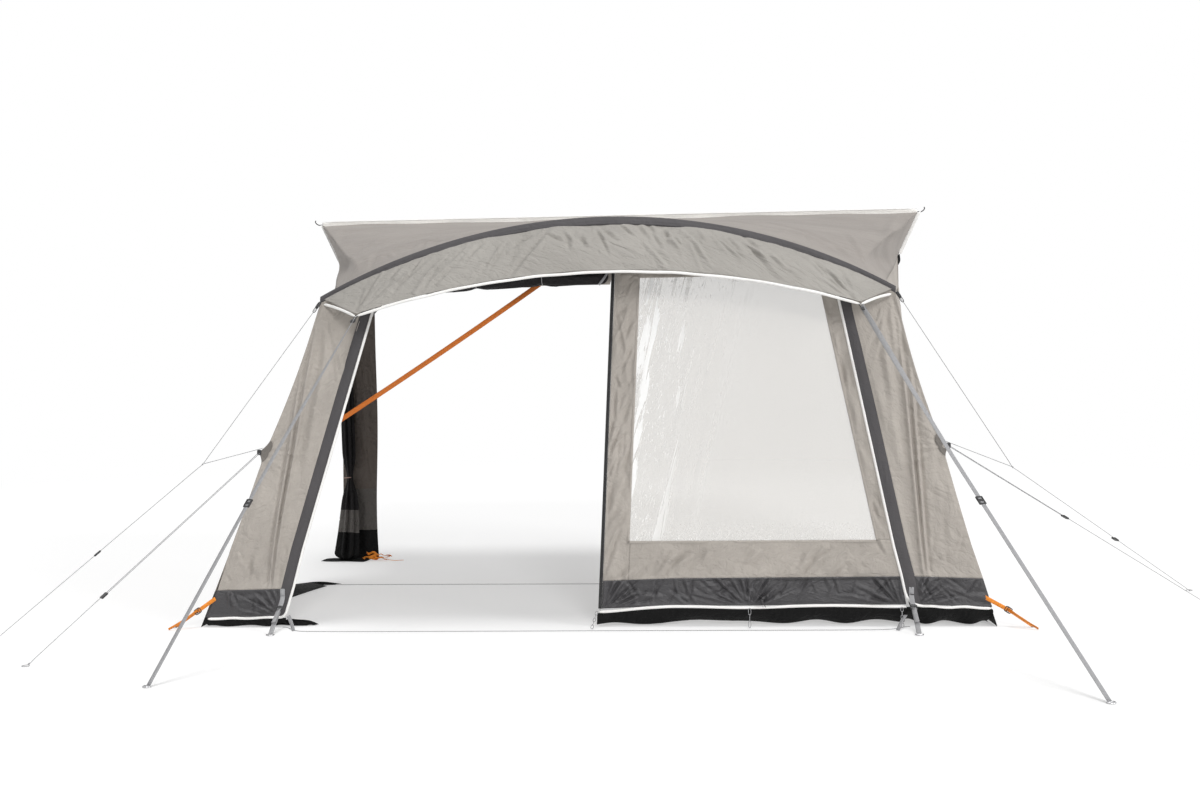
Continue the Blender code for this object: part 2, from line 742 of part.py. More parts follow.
def build_gathered_door():
    """The left side door, drawn back to the rear upright and tied: a column of long folds."""
    section = bpy.data.curves.new("fold_section", "CURVE")
    section.dimensions = "2D"
    ring = section.splines.new("POLY")
    ring.points.add(GATHER_SIDES - 1)
    for i, point in enumerate(ring.points):
        angle = -2 * math.pi * i / GATHER_SIDES
        radius = GATHER_RADIUS * (1 + GATHER_FOLD_SHARE * math.cos(GATHER_LOBES * angle))
        point.co = (radius * math.cos(angle), radius * math.sin(angle), 0.0, 1.0)
    ring.use_cyclic_u = True

    def fullness(share):
        waist = GATHER_WAIST_SHARE * math.exp(-((share - GATHER_TIE_SHARE) * GATHER_RINGS) ** 2 / 2)
        return 1 - GATHER_FOLD_SHARE * share / 2 - waist * GATHER_FOLD_SHARE * 2

    y = REAR_Y - SHEET - GAP - max(point.co.y for point in ring.points)
    shares = steps_between(0.0, 1.0, GATHER_RINGS - 1)
    data = bpy.data.curves.new("left_side_door", "CURVE")
    data.dimensions = "3D"
    data.bevel_mode = "OBJECT"
    data.bevel_object = guide(add_object("fold_section", section, None, CUTTERS))
    data.use_fill_caps = True
    column = data.splines.new("POLY")
    column.points.add(GATHER_RINGS - 1)
    for point, share in zip(column.points, shares):
        point.co = (-GATHER_X, y, mix(GATHER_LOW, GATHER_TOP, share), 1.0)
        point.radius = fullness(share)
    add_object("left_side_door", data, "black_flap")


def build_door_roll():
    """The left front door, rolled up under the visor and drawn in at its ties."""
    out = SHEET / 2 + GAP + ROLL_RADIUS
    shares = steps_between(0.0, 1.0, ROLL_POINTS - 1)
    points = [
        front_point(mix(-ROLL_LEFT, PANEL_LEFT - ROLL_END_GAP, s), ROLL_HEIGHT - ROLL_DROOP * (1 - s) ** 2, out)
        for s in shares
    ]
    pinched = [1 - ROLL_PINCH_SHARE * math.cos(math.pi * ROLL_TIES * s) ** 16 for s in shares]
    tube("front_door_roll", points, ROLL_RADIUS, "dark_trim", resolution=4, shares=pinched)


def build_beam():
    """One air beam: a leg, the arch and the other leg, with its valve on the right leg."""
    arch_radius = ARCH_RADIUS - ROOF_SHEET - BEAM_DROP - BEAM_RADIUS
    centre = CROWN_HEIGHT - ARCH_RADIUS
    leg = [(-(leg_x(z) + BEAM_OFFSET), z) for z in steps_between(BEAM_FOOT, BEAM_LEG_TOP, 3)]
    widest = math.asin(BEAM_ARCH_HALF / arch_radius)
    arch = [
        (arch_radius * math.sin(angle), centre + arch_radius * math.cos(angle))
        for angle in steps_between(-widest, widest, 8)
    ]
    route = leg + arch + sided(-1.0, leg[::-1])
    knots = [Vector((front_x(x, z), BEAM_Y, z)) for x, z in route]
    tube("front_beam", smooth_path(knots, 4), BEAM_RADIUS, "air_beam", resolution=4)

    x = leg_x(VALVE_HEIGHT) + BEAM_OFFSET
    place = Vector((front_x(x, VALVE_HEIGHT), BEAM_Y, VALVE_HEIGHT))
    along = front_point(leg_x(0.0), 0.0) - front_point(leg_x(BEAM_LEG_TOP), BEAM_LEG_TOP)
    seat = BEAM_RADIUS + GAP
    tip = seat + VALVE_LENGTH
    backward = Matrix.Translation(place) @ Matrix.Rotation(math.radians(-90), 4, "X")

    def along_valve(distance):
        return backward @ Matrix.Translation((0.0, 0.0, distance))

    valve = rod("beam_valve", VALVE_RADIUS, tip - BEAM_RADIUS / 2, 24, "black_plastic")
    valve.matrix_world = along_valve((tip + BEAM_RADIUS / 2) / 2)
    saddle = rod("beam_saddle", seat, 8 * VALVE_RADIUS, 48, None, CUTTERS)
    saddle.matrix_world = Matrix.Translation(place) @ along.to_track_quat("Z", "Y").to_matrix().to_4x4()
    cut(valve, saddle)

    cap_end = tip + GAP + CAP_END
    cap = rod("valve_cap", CAP_RADIUS, CAP_LENGTH, 2 * CAP_GRIPS, "black_plastic")
    cap.matrix_world = along_valve(cap_end - CAP_LENGTH / 2)
    recess = rod("cap_recess", VALVE_RADIUS + CAP_PLAY, CAP_LENGTH, 24, None, CUTTERS)
    recess.matrix_world = along_valve(cap_end - CAP_LENGTH / 2 - CAP_END)
    cut(cap, recess)


def build_tension_band():
    low = Vector((-BAND_LOW_X, BAND_LOW_Z))
    high = Vector((-BAND_HIGH_X, BAND_HIGH_Z))
    across = (high - low).orthogonal().normalized() * BAND_WIDTH / 2
    corners = [tuple(corner) for corner in (low - across, high - across, high + across, low + across)]
    flat_piece("left_tension_band", [corners], BAND_SHEET, "orange_band", y=BAND_Y)


def strap(name, places, across, width, material):
    """A strap of webbing along a path, its width along across."""
    cells = len(places) - 1

    def surface(u, v):
        return places[round(u * cells)] + across * (v - 0.5) * width

    return shell(name, cells, 1, surface, WEB_SHEET, material)


def route_place(point):
    x, out, z = point
    return Vector((x, FRONT_Y - out, z))


def d_ring(name, bar, across, ahead):
    """A wire D: its straight bar runs across through its origin, and its bow reaches ahead."""
    bow = [
        across * RING_HALF * math.cos(angle) + ahead * RING_BOW * math.sin(angle)
        for angle in steps_between(0.0, math.pi, 14)
    ]
    points = [*bow, across * -RING_HALF / 3, across * RING_HALF / 3]
    tube(name, points, RING_WIRE, "ring_metal", cyclic=True).location = bar


def build_storm_strap(name, side):
    tip = visor_tip(side)
    ring = route_place(STORM_RINGS[name])
    ahead = (ring - tip).normalized()
    across = level_across(ahead)
    start = tip + ahead * (VISOR_PIPING_RADIUS + GAP)
    end = ring - ahead * (RING_WIRE + GAP)
    strap(f"{name}_storm_strap", [start, end], across, WEB_WIDTH, "grey_webbing")
    d_ring(f"{name}_storm_ring", ring, across, Vector((ahead.x, ahead.y, 0.0)).normalized())

    frame = axes_at(mix(start, end, STORM_BUCKLE_SHARE), across, ahead)
    buckle = box(f"{name}_storm_buckle", (BUCKLE_WIDTH, BUCKLE_LENGTH, BUCKLE_HEIGHT), "black_plastic")
    buckle.matrix_world = frame
    soften(buckle, BUCKLE_HEIGHT / 8, 1)
    slot_size = (WEB_WIDTH + 2 * SLOT_PLAY, BUCKLE_LENGTH + OVERRUN, WEB_SHEET + 2 * SLOT_PLAY)
    slot = box(f"{name}_buckle_slot", slot_size, None, CUTTERS)
    slot.matrix_world = frame
    cut(buckle, slot)
    window_size = (WEB_WIDTH - 2 * SLOT_PLAY, BUCKLE_WINDOW, BUCKLE_HEIGHT + OVERRUN)
    for end_name, shift in (("upper", -BUCKLE_WINDOW), ("lower", BUCKLE_WINDOW)):
        window = box(f"{name}_buckle_{end_name}_window", window_size, None, CUTTERS, Vector((0.0, shift, 0.0)))
        window.matrix_world = frame
        cut(buckle, window)


def build_foot_strap(name, side):
    """Webbing on the leg trim's foot that runs out to a ring on the floor."""
    flush = SHEET / 2 + GAP + WEB_SHEET / 2
    bend = front_point(side * FOOT_X, FOOT_BEND, flush)
    top = Vector((bend.x, bend.y, FOOT_TOP))
    ring = Vector((bend.x, FRONT_Y - FOOT_RING_OUT, RING_LIFT))
    ahead = (ring - bend).normalized()
    end = ring - ahead * (RING_WIRE + GAP)
    strap(f"{name}_foot_strap", [top, bend, end], Vector((1.0, 0.0, 0.0)), WEB_WIDTH, "grey_webbing")
    d_ring(f"{name}_foot_ring", ring, Vector((1.0, 0.0, 0.0)), Vector((0.0, -1.0, 0.0)))


def build_corner_strap(name, side):
    start = Vector((front_x(side * CORNER_START_X, CORNER_START_Z), CORNER_START_Z))
    end = Vector((side * CORNER_END_X, CORNER_END_Z))
    across = (end - start).orthogonal().normalized() * CORNER_WIDTH / 2
    corners = [tuple(corner) for corner in (start - across, end - across, end + across, start + across)]
    y = FRONT_Y - SHEET / 2 - GAP - WEB_SHEET / 2
    flat_piece(f"{name}_corner_strap", [corners], WEB_SHEET, "orange_webbing", y=y, leaned=False)


def cord(name, knots, steps):
    path = smooth_path(knots, steps)
    for point in path:
        point.z = max(point.z, CORD_RADIUS)
    tube(name, path, CORD_RADIUS, "guy_cord")


def ground_eye(end, arriving):
    """Knots of the open eye that lies on the floor at a guy's end, for a peg."""
    ahead = Vector((arriving.x, arriving.y, 0.0)).normalized()
    across = level_across(ahead)
    centre = end + (ahead + across) * EYE_RADIUS
    angles = [math.radians(45 * i - 60) for i in range(EYE_STEPS + 1)]
    return [centre + (ahead * math.cos(a) + across * math.sin(a)) * EYE_RADIUS for a in angles]


def build_runner(name, place, ahead):
    """A flat slider with two bores for the line that runs through it."""
    frame = axes_at(place, level_across(ahead), ahead)
    size = (RUNNER_WIDTH, RUNNER_LENGTH, RUNNER_HEIGHT)
    body = box(name, size, "black_plastic", centre=Vector((TURN_RADIUS, 0.0, 0.0)))
    body.matrix_world = frame
    soften(body, RUNNER_HEIGHT / 6, 1)
    for bore_name, shift in (("first", 0.0), ("second", 2 * TURN_RADIUS)):
        length = RUNNER_LENGTH + OVERRUN
        bore = rod(f"{name}_{bore_name}_bore", CORD_RADIUS + BORE_PLAY, length, 16, None, CUTTERS)
        turned = Matrix.Translation((shift, 0.0, 0.0)) @ Matrix.Rotation(math.radians(-90), 4, "X")
        bore.matrix_world = frame @ turned
        cut(body, bore)


def build_upper_guy(name):
    """From the hip to the ground, pulled aside by a branch from the tab."""
    hip, joint, ground = (route_place(point) for point in UPPER_GUYS[name])
    ahead = (ground - joint).normalized()
    hip_run = (joint - hip).normalized()
    knots = [
        hip, mix(hip, joint, 0.5), joint - hip_run * BEND_RUN, joint, joint + ahead * BEND_RUN,
        *steps_between(joint, ground, 4)[1:-1], ground - ahead * BEND_RUN, ground, *ground_eye(ground, ahead),
    ]
    cord(f"{name}_upper_guy", knots, 4)
    build_runner(f"{name}_upper_runner", mix(joint, ground, UPPER_RUNNER_SHARES[name]), ahead)
    tab = route_place(BRANCH_STARTS[name])
    back = (tab - joint).normalized()
    angle = back.angle(-2 * hip_run - ahead)
    clear = (CORD_RADIUS * (1 + math.cos(angle)) + GAP) / math.sin(angle)
    cord(f"{name}_guy_branch", steps_between(tab, joint + back * clear, 3), 5)


def build_lower_guy(name):
    """Doubled from the tab to its runner: it starts in the runner, turns at the tab and runs to the ground."""
    turn, ground = (route_place(point) for point in LOWER_GUYS[name])
    leaving = (ground - turn).normalized()
    near = turn + (leaving - level_across(leaving)) * TURN_RADIUS
    ahead = (ground - near).normalized()
    place = mix(near, ground, LOWER_RUNNER_SHARES[name])
    beside = level_across(ahead) * 2 * TURN_RADIUS
    start = place + beside + ahead * (RUNNER_LENGTH / 2 - TAIL_INSET)
    knots = [
        *steps_between(start, near + beside + ahead * BEND_RUN, 3), near + beside, turn, near,
        near + ahead * BEND_RUN, *steps_between(near, ground, 4)[1:-1], ground - ahead * BEND_RUN, ground,
        *ground_eye(ground, ahead),
    ]
    cord(f"{name}_lower_guy", knots, 4)
    build_runner(f"{name}_lower_runner", place, ahead)


def build_ground_cords():
    cord("threshold_cord", [route_place(point) for point in THRESHOLD_ROUTE], 5)
    left, right = (wall_point(side, 0.0, JAMB_SHARE) for side in (-1.0, 1.0))
    clear = Vector((SHEET / 2 + 2 * GAP, 0.0, 0.0))
    back = Vector((0.0, -CORNER_WIDTH, CORD_RADIUS))
    cord("mid_cord", steps_between(left + clear + back, right - clear + back, 3), 5)


def build_awning():
    build_roof()
    build_beading()
    build_visor()
    build_header()
    build_front_panel()
    build_beam()
    build_tension_band()
    build_door_roll()
    build_gathered_door()
    build_side_door()
    for name, side in SIDES:
        build_wing(name, side)
        build_side_wall(name, side)
        build_storm_strap(name, side)
        build_foot_strap(name, side)
        build_corner_strap(name, side)
        build_upper_guy(name)
        build_lower_guy(name)
    build_ground_cords()


build_awning()
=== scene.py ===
"""Looks of an inflatable caravan awning: its cloth, webbing, cords and fittings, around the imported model.

Metres, +Z up, +Y towards the caravan. Front pieces are laid out as if the awning stood true, and
Front.x then leans them with the arch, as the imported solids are.
"""
import math

import bpy
import numpy as np
from mathutils import Matrix, Vector


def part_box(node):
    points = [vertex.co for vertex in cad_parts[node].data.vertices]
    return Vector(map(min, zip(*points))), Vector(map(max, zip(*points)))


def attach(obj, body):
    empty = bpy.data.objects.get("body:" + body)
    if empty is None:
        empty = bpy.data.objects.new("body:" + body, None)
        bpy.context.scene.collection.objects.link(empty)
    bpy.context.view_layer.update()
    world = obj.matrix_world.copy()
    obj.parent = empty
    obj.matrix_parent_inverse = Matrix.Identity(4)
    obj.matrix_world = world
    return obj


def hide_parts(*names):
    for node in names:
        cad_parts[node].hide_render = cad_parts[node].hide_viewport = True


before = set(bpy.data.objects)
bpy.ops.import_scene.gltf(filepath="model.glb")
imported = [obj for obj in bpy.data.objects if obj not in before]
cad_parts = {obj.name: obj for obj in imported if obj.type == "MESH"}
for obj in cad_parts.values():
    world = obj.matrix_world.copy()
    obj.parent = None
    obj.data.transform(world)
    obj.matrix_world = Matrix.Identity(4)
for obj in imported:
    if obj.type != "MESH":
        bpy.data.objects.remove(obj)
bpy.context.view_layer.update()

bl_info = {
    "name": "Caravan awning looks",
    "version": (1, 0, 0),
    "blender": (4, 5, 0),
    "location": "3D View > Sidebar > Awning",
    "description": "Dresses the packed caravan awning in cloth, webbing, cords and fittings",
    "category": "Object",
}

FRONT_Y = (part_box("front_header")[0].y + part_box("front_header")[1].y) / 2
REAR_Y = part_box("rail_beading")[0].y
FRONTWARD = np.array((0.0, -1.0, 0.0))
RIGHTWARD = np.array((1.0, 0.0, 0.0))
UPWARD = np.array((0.0, 0.0, 1.0))
SIDES = (("left", -1.0), ("right", 1.0))

# Seams and sheets
SEAM = 0.0004
CLOTH = 0.0016
WEB = 0.0018
FILM = 0.0008
STRAP = 0.025
ARCH_TRIM = 0.033
TRIM_DROP = 0.010
TRIM_FLARE = 0.017
LEG_TRIM = 0.058
PIPING = 0.006
HEM_HEIGHT = 0.078
HEM_TOP = HEM_HEIGHT + PIPING
MUD_TOP = 0.225
FLOOR_GAP = 0.0012
DARK_CLOTH = 0.03
BUCKLE_RUN = 0.24  # the storm strap is straight this far above its buckle, which slides 0.20
HEM_PLACES = (-2.05, -1.60, 0.00, 0.40, 1.60, 2.00)
HEM_LIFTS = (-0.036, -0.026, 0.008, 0.022, 0.028, 0.014)
WALL_CLOTHS = ["awning cloth", "mud band cloth", "black flap cloth"]

# Front panel and rolled door
HINGE_HEIGHT = 1.80
PANEL_LEFT = 0.035
ZIP_WIDTH = 0.018
ZIP_RIGHT = PANEL_LEFT + ZIP_WIDTH
WINDOW_LEFT = 0.18
WINDOW_LOW = 0.436
WINDOW_TOP = 1.765
WINDOW_MARGIN = 0.08
WINDOW_WELD = 0.006
ROLL_BACK = 1.735
ROLL_LEFT = -0.98
ROLL_OUT = 0.045
ROLL_HEIGHT = 1.775
ROLL_DROP = 0.035

# Wing's outer edge
TAB_HEIGHT = 0.905
TAB_HALF = 0.060
TAB_REACH = 0.034
UPPER_SCALLOP = 0.016
LOWER_SCALLOP = 0.006

# Visor
TIP_HALF = 1.24
TIP_HEIGHT = 1.607
MID_HEIGHT = 1.791
HIP_INSET = 0.022
VISOR_PIPING = 0.007
VISOR_DROP = VISOR_PIPING + 0.0015
VISOR_SHIFT = 0.022
VISOR_TILT = 0.008

# Roof and rear
SIDE_BOW = 0.050
BOW_PEAK = 0.18
GUSSET_BOW = 0.042
RAIL_SHARE = 0.86
RETURN_INNER = 1.72
REAR_FOOT_HALF = 1.975
WALL_END_SHARE = 0.9988
JAMB_SHARE = 0.9988 * 6 / 11
LINTEL_SHARE = 11 / 12
GATHER_LOW = 0.010
GATHER_TOP = 1.880
GATHER_TIE_SHARE = 0.31

# Foot straps: distance from the middle, in front of the front plane, and heights
FOOT_STRAP_X = 1.600
FOOT_STRAP_OUT = 0.0025
FOOT_STRAP_BEND = 0.150
FOOT_STRAP_TOP = 0.200

# Beam
BEAM_RADIUS = 0.062
BEAM_OFFSET = 0.084
BEAM_LEG_TOP = 1.61
BEAM_ARCH_HALF = 1.02

# Cords: x, distance in front of the front plane, height
CORD_RADIUS = 0.0015
EYE_RADIUS = 0.016
TURN_RADIUS = 0.007
BEND_RUN = 0.05
TAIL_REACH = 0.014
KNOT_BACK = 0.006
END_KNOT = 0.0036
RING_REACH = 0.0033
STORM_RINGS = {"left": (-1.778, 1.271, 0.0035), "right": (2.069, 1.484, 0.0035)}
UPPER_GUYS = {
    "left": [(-1.3912, 0.0005, 1.6665), (-1.965, 0.143, 0.857), (-2.914, 0.506, 0.0015)],
    "right": [(1.5336, 0.0005, 1.6665), (2.160, -0.281, 0.774), (3.340, -1.035, 0.0015)],
}
BRANCH_STARTS = {"left": (-1.7034, 0.0, 0.9263), "right": (1.7613, 0.0, 0.9263)}
LOWER_GUYS = {
    "left": [(-1.7203, 0.0014, 0.9035), (-2.511, 0.868, 0.0015)],
    "right": [(1.7768, -0.0007, 0.9038), (3.257, -0.528, 0.0015)],
}
LOWER_RUNNER_SHARES = {"left": 0.700, "right": 0.425}
THRESHOLD_ROUTE = [
    (-1.615, 0.0031, 0.0015), (-1.590, 0.012, 0.0015), (-1.553, 0.058, 0.0015), (-1.500, 0.106, 0.0015),
    (-1.350, 0.118, 0.0015), (0.0, 0.104, 0.0015), (1.320, 0.086, 0.0015), (1.440, 0.078, 0.0015),
    (1.510, 0.050, 0.0015), (1.552, 0.012, 0.0015), (1.580, 0.0031, 0.0015),
]

# Camera: the lens is for a 36 mm wide sensor
CAMERA_PLACE = (0.472, -7.542, 1.255)
CAMERA_YAW = -0.067
CAMERA_PITCH = -0.016
CAMERA_ROLL = -0.014
CAMERA_LENS = 37.95


def metres(name, description, default):
    return bpy.props.FloatProperty(name=name, description=description, default=default, min=0.0, unit="LENGTH")


def share(name, description, default):
    return bpy.props.FloatProperty(name=name, description=description, default=default, min=0.0, max=2.0)


def tint(name, description, default):
    return bpy.props.FloatVectorProperty(
        name=name, description=description, default=default, size=3, min=0.0, max=1.0, subtype="COLOR",
    )


class AwningSizes(bpy.types.PropertyGroup):
    """Main sizes of the awning, as its solids have them."""

    crown_height: metres("Crown height", "Top of the front arch", 2.078)
    hip_half: metres("Hip half width", "Half the width of the front arch at its tips", 1.457)
    hip_height: metres("Hip height", "Height of the front arch at its tips", 1.700)
    base_half: metres("Base half width", "Half the width of the front at the floor", 2.03)
    lean: metres("Lean", "How far the arch leans to the right at crown height", 0.11)
    shift: metres("Shift", "How far the feet stand to the left", 0.02)
    leg_foot_half: metres("Leg foot", "Half the distance between the feet of the leg lines", 1.607)
    leg_inset: metres("Leg inset", "How far inside the hip the leg line passes", 0.2954)
    rail_half: metres("Rail half length", "Half the length of the beading line", 2.09)
    rail_height: metres("Rail height", "Height of the caravan's rail", 2.38)
    notch_half: metres("Notch half width", "Where the roof edge meets the rear upright", 1.955)
    notch_height: metres("Notch height", "Height of the rear upright", 2.09)
    roof_sag: metres("Roof sag", "How far the middle of the roof sags", 0.020)
    visor_reach: metres("Visor reach", "How far the visor's edge stands in front", 0.20)
    crease_depth: share("Crease depth", "Multiplies the depth of every crease", 1.0)


class AwningColours(bpy.types.PropertyGroup):
    """Base colours of the awning's materials."""

    awning: tint("Awning cloth", "Warm grey cloth of the walls", (0.390, 0.357, 0.322))
    # Painted shade: the roof is the walls' cloth in a darker tone, so that facing the light from above it looks no
    # brighter than the walls.
    roof: tint("Roof cloth", "Warm grey cloth of the roof", (0.284, 0.258, 0.237))
    visor: tint("Visor cloth", "Cooler grey cloth of the visor", (0.322, 0.306, 0.282))
    trim: tint("Trim", "Charcoal strips along the arch and the legs", (0.060, 0.056, 0.059))
    mud: tint("Mud band", "Coated cloth above the hem", (0.042, 0.040, 0.043))
    flap: tint("Flaps", "Black coated cloth below the hem", (0.004, 0.004, 0.004))
    piping: tint("Piping", "White welted piping", (0.86, 0.85, 0.83))
    film: tint("Window film", "Clear film of the window", (0.50, 0.465, 0.415))
    orange: tint("Orange webbing", "Corner straps", (0.86, 0.27, 0.018))
    band: tint("Tension band", "Orange band inside the front", (0.58, 0.145, 0.008))
    webbing: tint("Grey webbing", "Storm straps and foot straps", (0.36, 0.36, 0.37))
    cord: tint("Cord", "Guy lines", (0.26, 0.26, 0.27))
    plastic: tint("Plastic", "Buckles, runners and toggles", (0.018, 0.018, 0.019))
    # Painted shade: the rear returns are seen from inside the awning, and their dark tone paints the shade there.
    inner: tint("Inner cloth", "Dark cloth of the rear returns", (0.100, 0.081, 0.068))
    mesh: tint("Mesh patch", "Grey patches at the foot of the rear left side", (0.105, 0.096, 0.088))


def mix(start, end, s):
    return start + (end - start) * s


def eased(s):
    """Smoothstep of a share."""
    return s * s * (3 - 2 * s)


def grid(across, along):
    """Two arrays of shares from 0 to 1: the first grows along each row, the second from row to row."""
    return np.meshgrid(np.linspace(0.0, 1.0, across + 1), np.linspace(0.0, 1.0, along + 1))


def rings(sides, shares):
    """Angles round a tube and the shares along it, as two grids."""
    return np.meshgrid(np.linspace(0, math.tau, sides, endpoint=False), shares)


def face_middles(values):
    return (values[:-1, :-1] + values[1:, 1:]) / 2


def unit(vectors):
    return vectors / np.maximum(np.linalg.norm(vectors, axis=-1, keepdims=True), 1e-12)


def side_rng(seed, side):
    """The left side draws from this seed, the right one from the next."""
    return np.random.default_rng(seed + int(side > 0))


def hem_share(z):
    """How much of the hem's lift a height takes: none on the floor, all at the mud band, none by the window."""
    return np.clip(z / HEM_HEIGHT, 0.0, 1.0) * np.clip((WINDOW_LOW - 0.03 - z) / 0.17, 0.0, 1.0)


def hem_wave(x):
    """The panel's hem rises a little between its peg points and dips to each."""
    return -0.0035 * np.cos((x - 0.80) * 8.3) - 0.006 * np.exp(-np.square((x - PANEL_LEFT) / 0.15))


class Front:
    """Outlines of the front, laid out true, with the awning's sizes as its own values."""

    def __init__(self, sizes):
        for key in sizes.__annotations__:
            setattr(self, key, getattr(sizes, key))
        rise = self.crown_height - self.hip_height
        self.radius = (self.hip_half ** 2 + rise ** 2) / (2 * rise)
        self.slope = (self.leg_foot_half - self.hip_half + self.leg_inset) / self.hip_height
        self.piping_side = PIPING * math.sqrt(1 + self.slope ** 2)
        self.trim_in = self.piping_side + SEAM
        self.wing_in = self.trim_in + LEG_TRIM

    def x(self, x, z):
        """World x of a front point: shifted left, and leaned right with its height."""
        return x - self.shift + self.lean * z / self.crown_height

    def place(self, x, z, out=0.0):
        x, z, out = np.broadcast_arrays(x, z, out)
        return np.stack([self.x(x, z), FRONT_Y - out, z + np.interp(x, HEM_PLACES, HEM_LIFTS) * hem_share(z)], -1)

    def arch(self, x):
        """Circular arc through the crown and both hips."""
        return self.crown_height - self.radius + np.sqrt(self.radius ** 2 - np.square(x))

    def under(self, x):
        return self.arch(x) - ARCH_TRIM - SEAM

    def leg(self, z):
        return self.leg_foot_half - self.slope * z

    def leg_at_arch(self, offset):
        x = self.leg(HINGE_HEIGHT) + offset
        for _ in range(20):
            x = self.leg(self.under(x)) + offset
        return float(x)

    def scalloped(self, z):
        """Straight from foot to hip, drawn in by two sine arcs between foot, tab and hip."""
        hip = self.hip_height - ARCH_TRIM
        edge = mix(self.base_half, self.hip_half, np.clip(z / hip, 0.0, 1.0))
        upper = UPPER_SCALLOP * np.sin(np.pi * np.clip((z - TAB_HEIGHT) / (hip - TAB_HEIGHT), 0.0, 1.0))
        lower = LOWER_SCALLOP * np.sin(np.pi * np.clip(z / TAB_HEIGHT, 0.0, 1.0))
        return edge - upper - lower

    def outer(self, z):
        """The wing's outer edge: scalloped, with the tab's point."""
        away = np.clip(1 - np.abs(z - TAB_HEIGHT) / TAB_HALF, 0.0, 1.0)
        return self.scalloped(z) + TAB_REACH * away ** 1.6

    def visor_edge(self, x, below=0.0):
        """The visor's lower edge: a parabola through its middle and tips, set a little right and higher there."""
        height = MID_HEIGHT - (MID_HEIGHT - TIP_HEIGHT) * np.square(x / TIP_HALF)
        return self.place(x + VISOR_SHIFT, height + VISOR_TILT * x / TIP_HALF - below, self.visor_reach)

    def visor_tip(self, side):
        return self.visor_edge(side * TIP_HALF, 1.5 * VISOR_DROP)


# Relief of cloth


def crease(a, b, start, end, width, depth):
    """A ridge along a line with a shallow trough beside it, both Gaussian across it, fading by a sine along it."""
    start = np.array(start)
    run = np.array(end) - start
    length = np.hypot(*run)
    along = ((a - start[0]) * run[0] + (b - start[1]) * run[1]) / length ** 2
    off = (-(a - start[0]) * run[1] + (b - start[1]) * run[0]) / length / width
    fade = np.sin(np.pi * np.clip(along, 0.0, 1.0)) ** 0.7
    return depth * fade * (np.exp(-np.square(off)) - 0.6 * np.exp(-np.square((off - 1.6) / 1.2)))


def creases(a, b, rng, count, area, heading, spread, lengths, widths, depths):
    """Scattered creases: starts even over the area, headings normal about one, the rest even in their ranges."""
    height = np.zeros_like(a)
    (a_low, b_low), (a_high, b_high) = area
    for _ in range(count):
        start = np.array((rng.uniform(a_low, a_high), rng.uniform(b_low, b_high)))
        angle = rng.normal(heading, spread)
        end = start + rng.uniform(*lengths) * np.array((math.cos(angle), math.sin(angle)))
        height += crease(a, b, start, end, rng.uniform(*widths), rng.uniform(*depths) * rng.choice((-1.0, 1.0)))
    return height


def fan(a, b, rng, count, tip, headings, lengths, width, depth):
    """Creases that run out of one point, spread between two headings."""
    height = np.zeros_like(a)
    for angle in np.linspace(*headings, count) + rng.normal(0.0, 0.06, count):
        ray = np.array((math.cos(angle), math.sin(angle)))
        start = np.array(tip) + ray * width
        end = np.array(tip) + ray * rng.uniform(*lengths)
        height += crease(a, b, start, end, width * rng.uniform(0.6, 1.3), depth * rng.uniform(0.4, 1.0))
    return height


def billow(a, b, rng, pitch, depth):
    """Soft unevenness: six sine waves of about one pitch that run in turned directions."""
    height = np.zeros_like(a)
    for _ in range(6):
        angle = rng.uniform(0.0, math.tau)
        wave = math.tau / (pitch * rng.uniform(0.7, 1.5))
        height += np.sin(wave * (a * math.cos(angle) + b * math.sin(angle)) + rng.uniform(0.0, math.tau))
    return height * depth / 3


def border(u, v, reach):
    """1 inside, falling smoothly to 0 at the borders of the unit grid over the given shares."""
    near = np.minimum(np.minimum(u, 1 - u) / reach[0], np.minimum(v, 1 - v) / reach[1])
    return eased(np.clip(near, 0.0, 1.0))


# Meshes


def grid_part(places, closed=False, caps=False, keep=None, shade=None):
    """A surface from a grid of places: vertices, faces, and for each face corner its way along rows and columns.

    closed joins each row's end to its start, caps fill the first and the last row, keep drops faces and shade
    numbers their materials.
    """
    rows, columns = places.shape[:2]
    number = np.arange(rows * columns).reshape(rows, columns)
    wide = places
    if closed:
        number = np.concatenate([number, number[:, :1]], axis=1)
        wide = np.concatenate([places, places[:, :1]], axis=1)
    across = np.linalg.norm(np.diff(wide, axis=1), axis=-1)
    along = np.linalg.norm(np.diff(wide, axis=0), axis=-1)
    u = np.concatenate([np.zeros((rows, 1)), np.cumsum(across, axis=1)], axis=1)
    v = np.concatenate([np.zeros((1, wide.shape[1])), np.cumsum(along, axis=0)])
    way = np.stack([u, v], -1)
    rim = np.stack([np.minimum(u, u[:, -1:] - u), np.minimum(v, v[-1:] - v)], -1)

    def corners(values):
        return np.stack([values[:-1, :-1], values[:-1, 1:], values[1:, 1:], values[1:, :-1]], axis=2)

    kept = np.ones((rows - 1, number.shape[1] - 1), bool) if keep is None else keep
    faces = corners(number)[kept].tolist()
    ways = corners(way)[kept].reshape(-1, 2)
    rims = corners(rim)[kept].reshape(-1, 2)
    shades = (np.zeros(kept.shape, int) if shade is None else shade)[kept].tolist()
    if caps:
        faces += [number[0, :columns][::-1].tolist(), number[-1, :columns].tolist()]
        shades += [shades[0], shades[-1]]
        ways = np.concatenate([ways, way[0, :columns], way[-1, :columns]])
        rims = np.concatenate([rims, rim[0, :columns], rim[-1, :columns]])
    return places.reshape(-1, 3), faces, ways, rims, shades


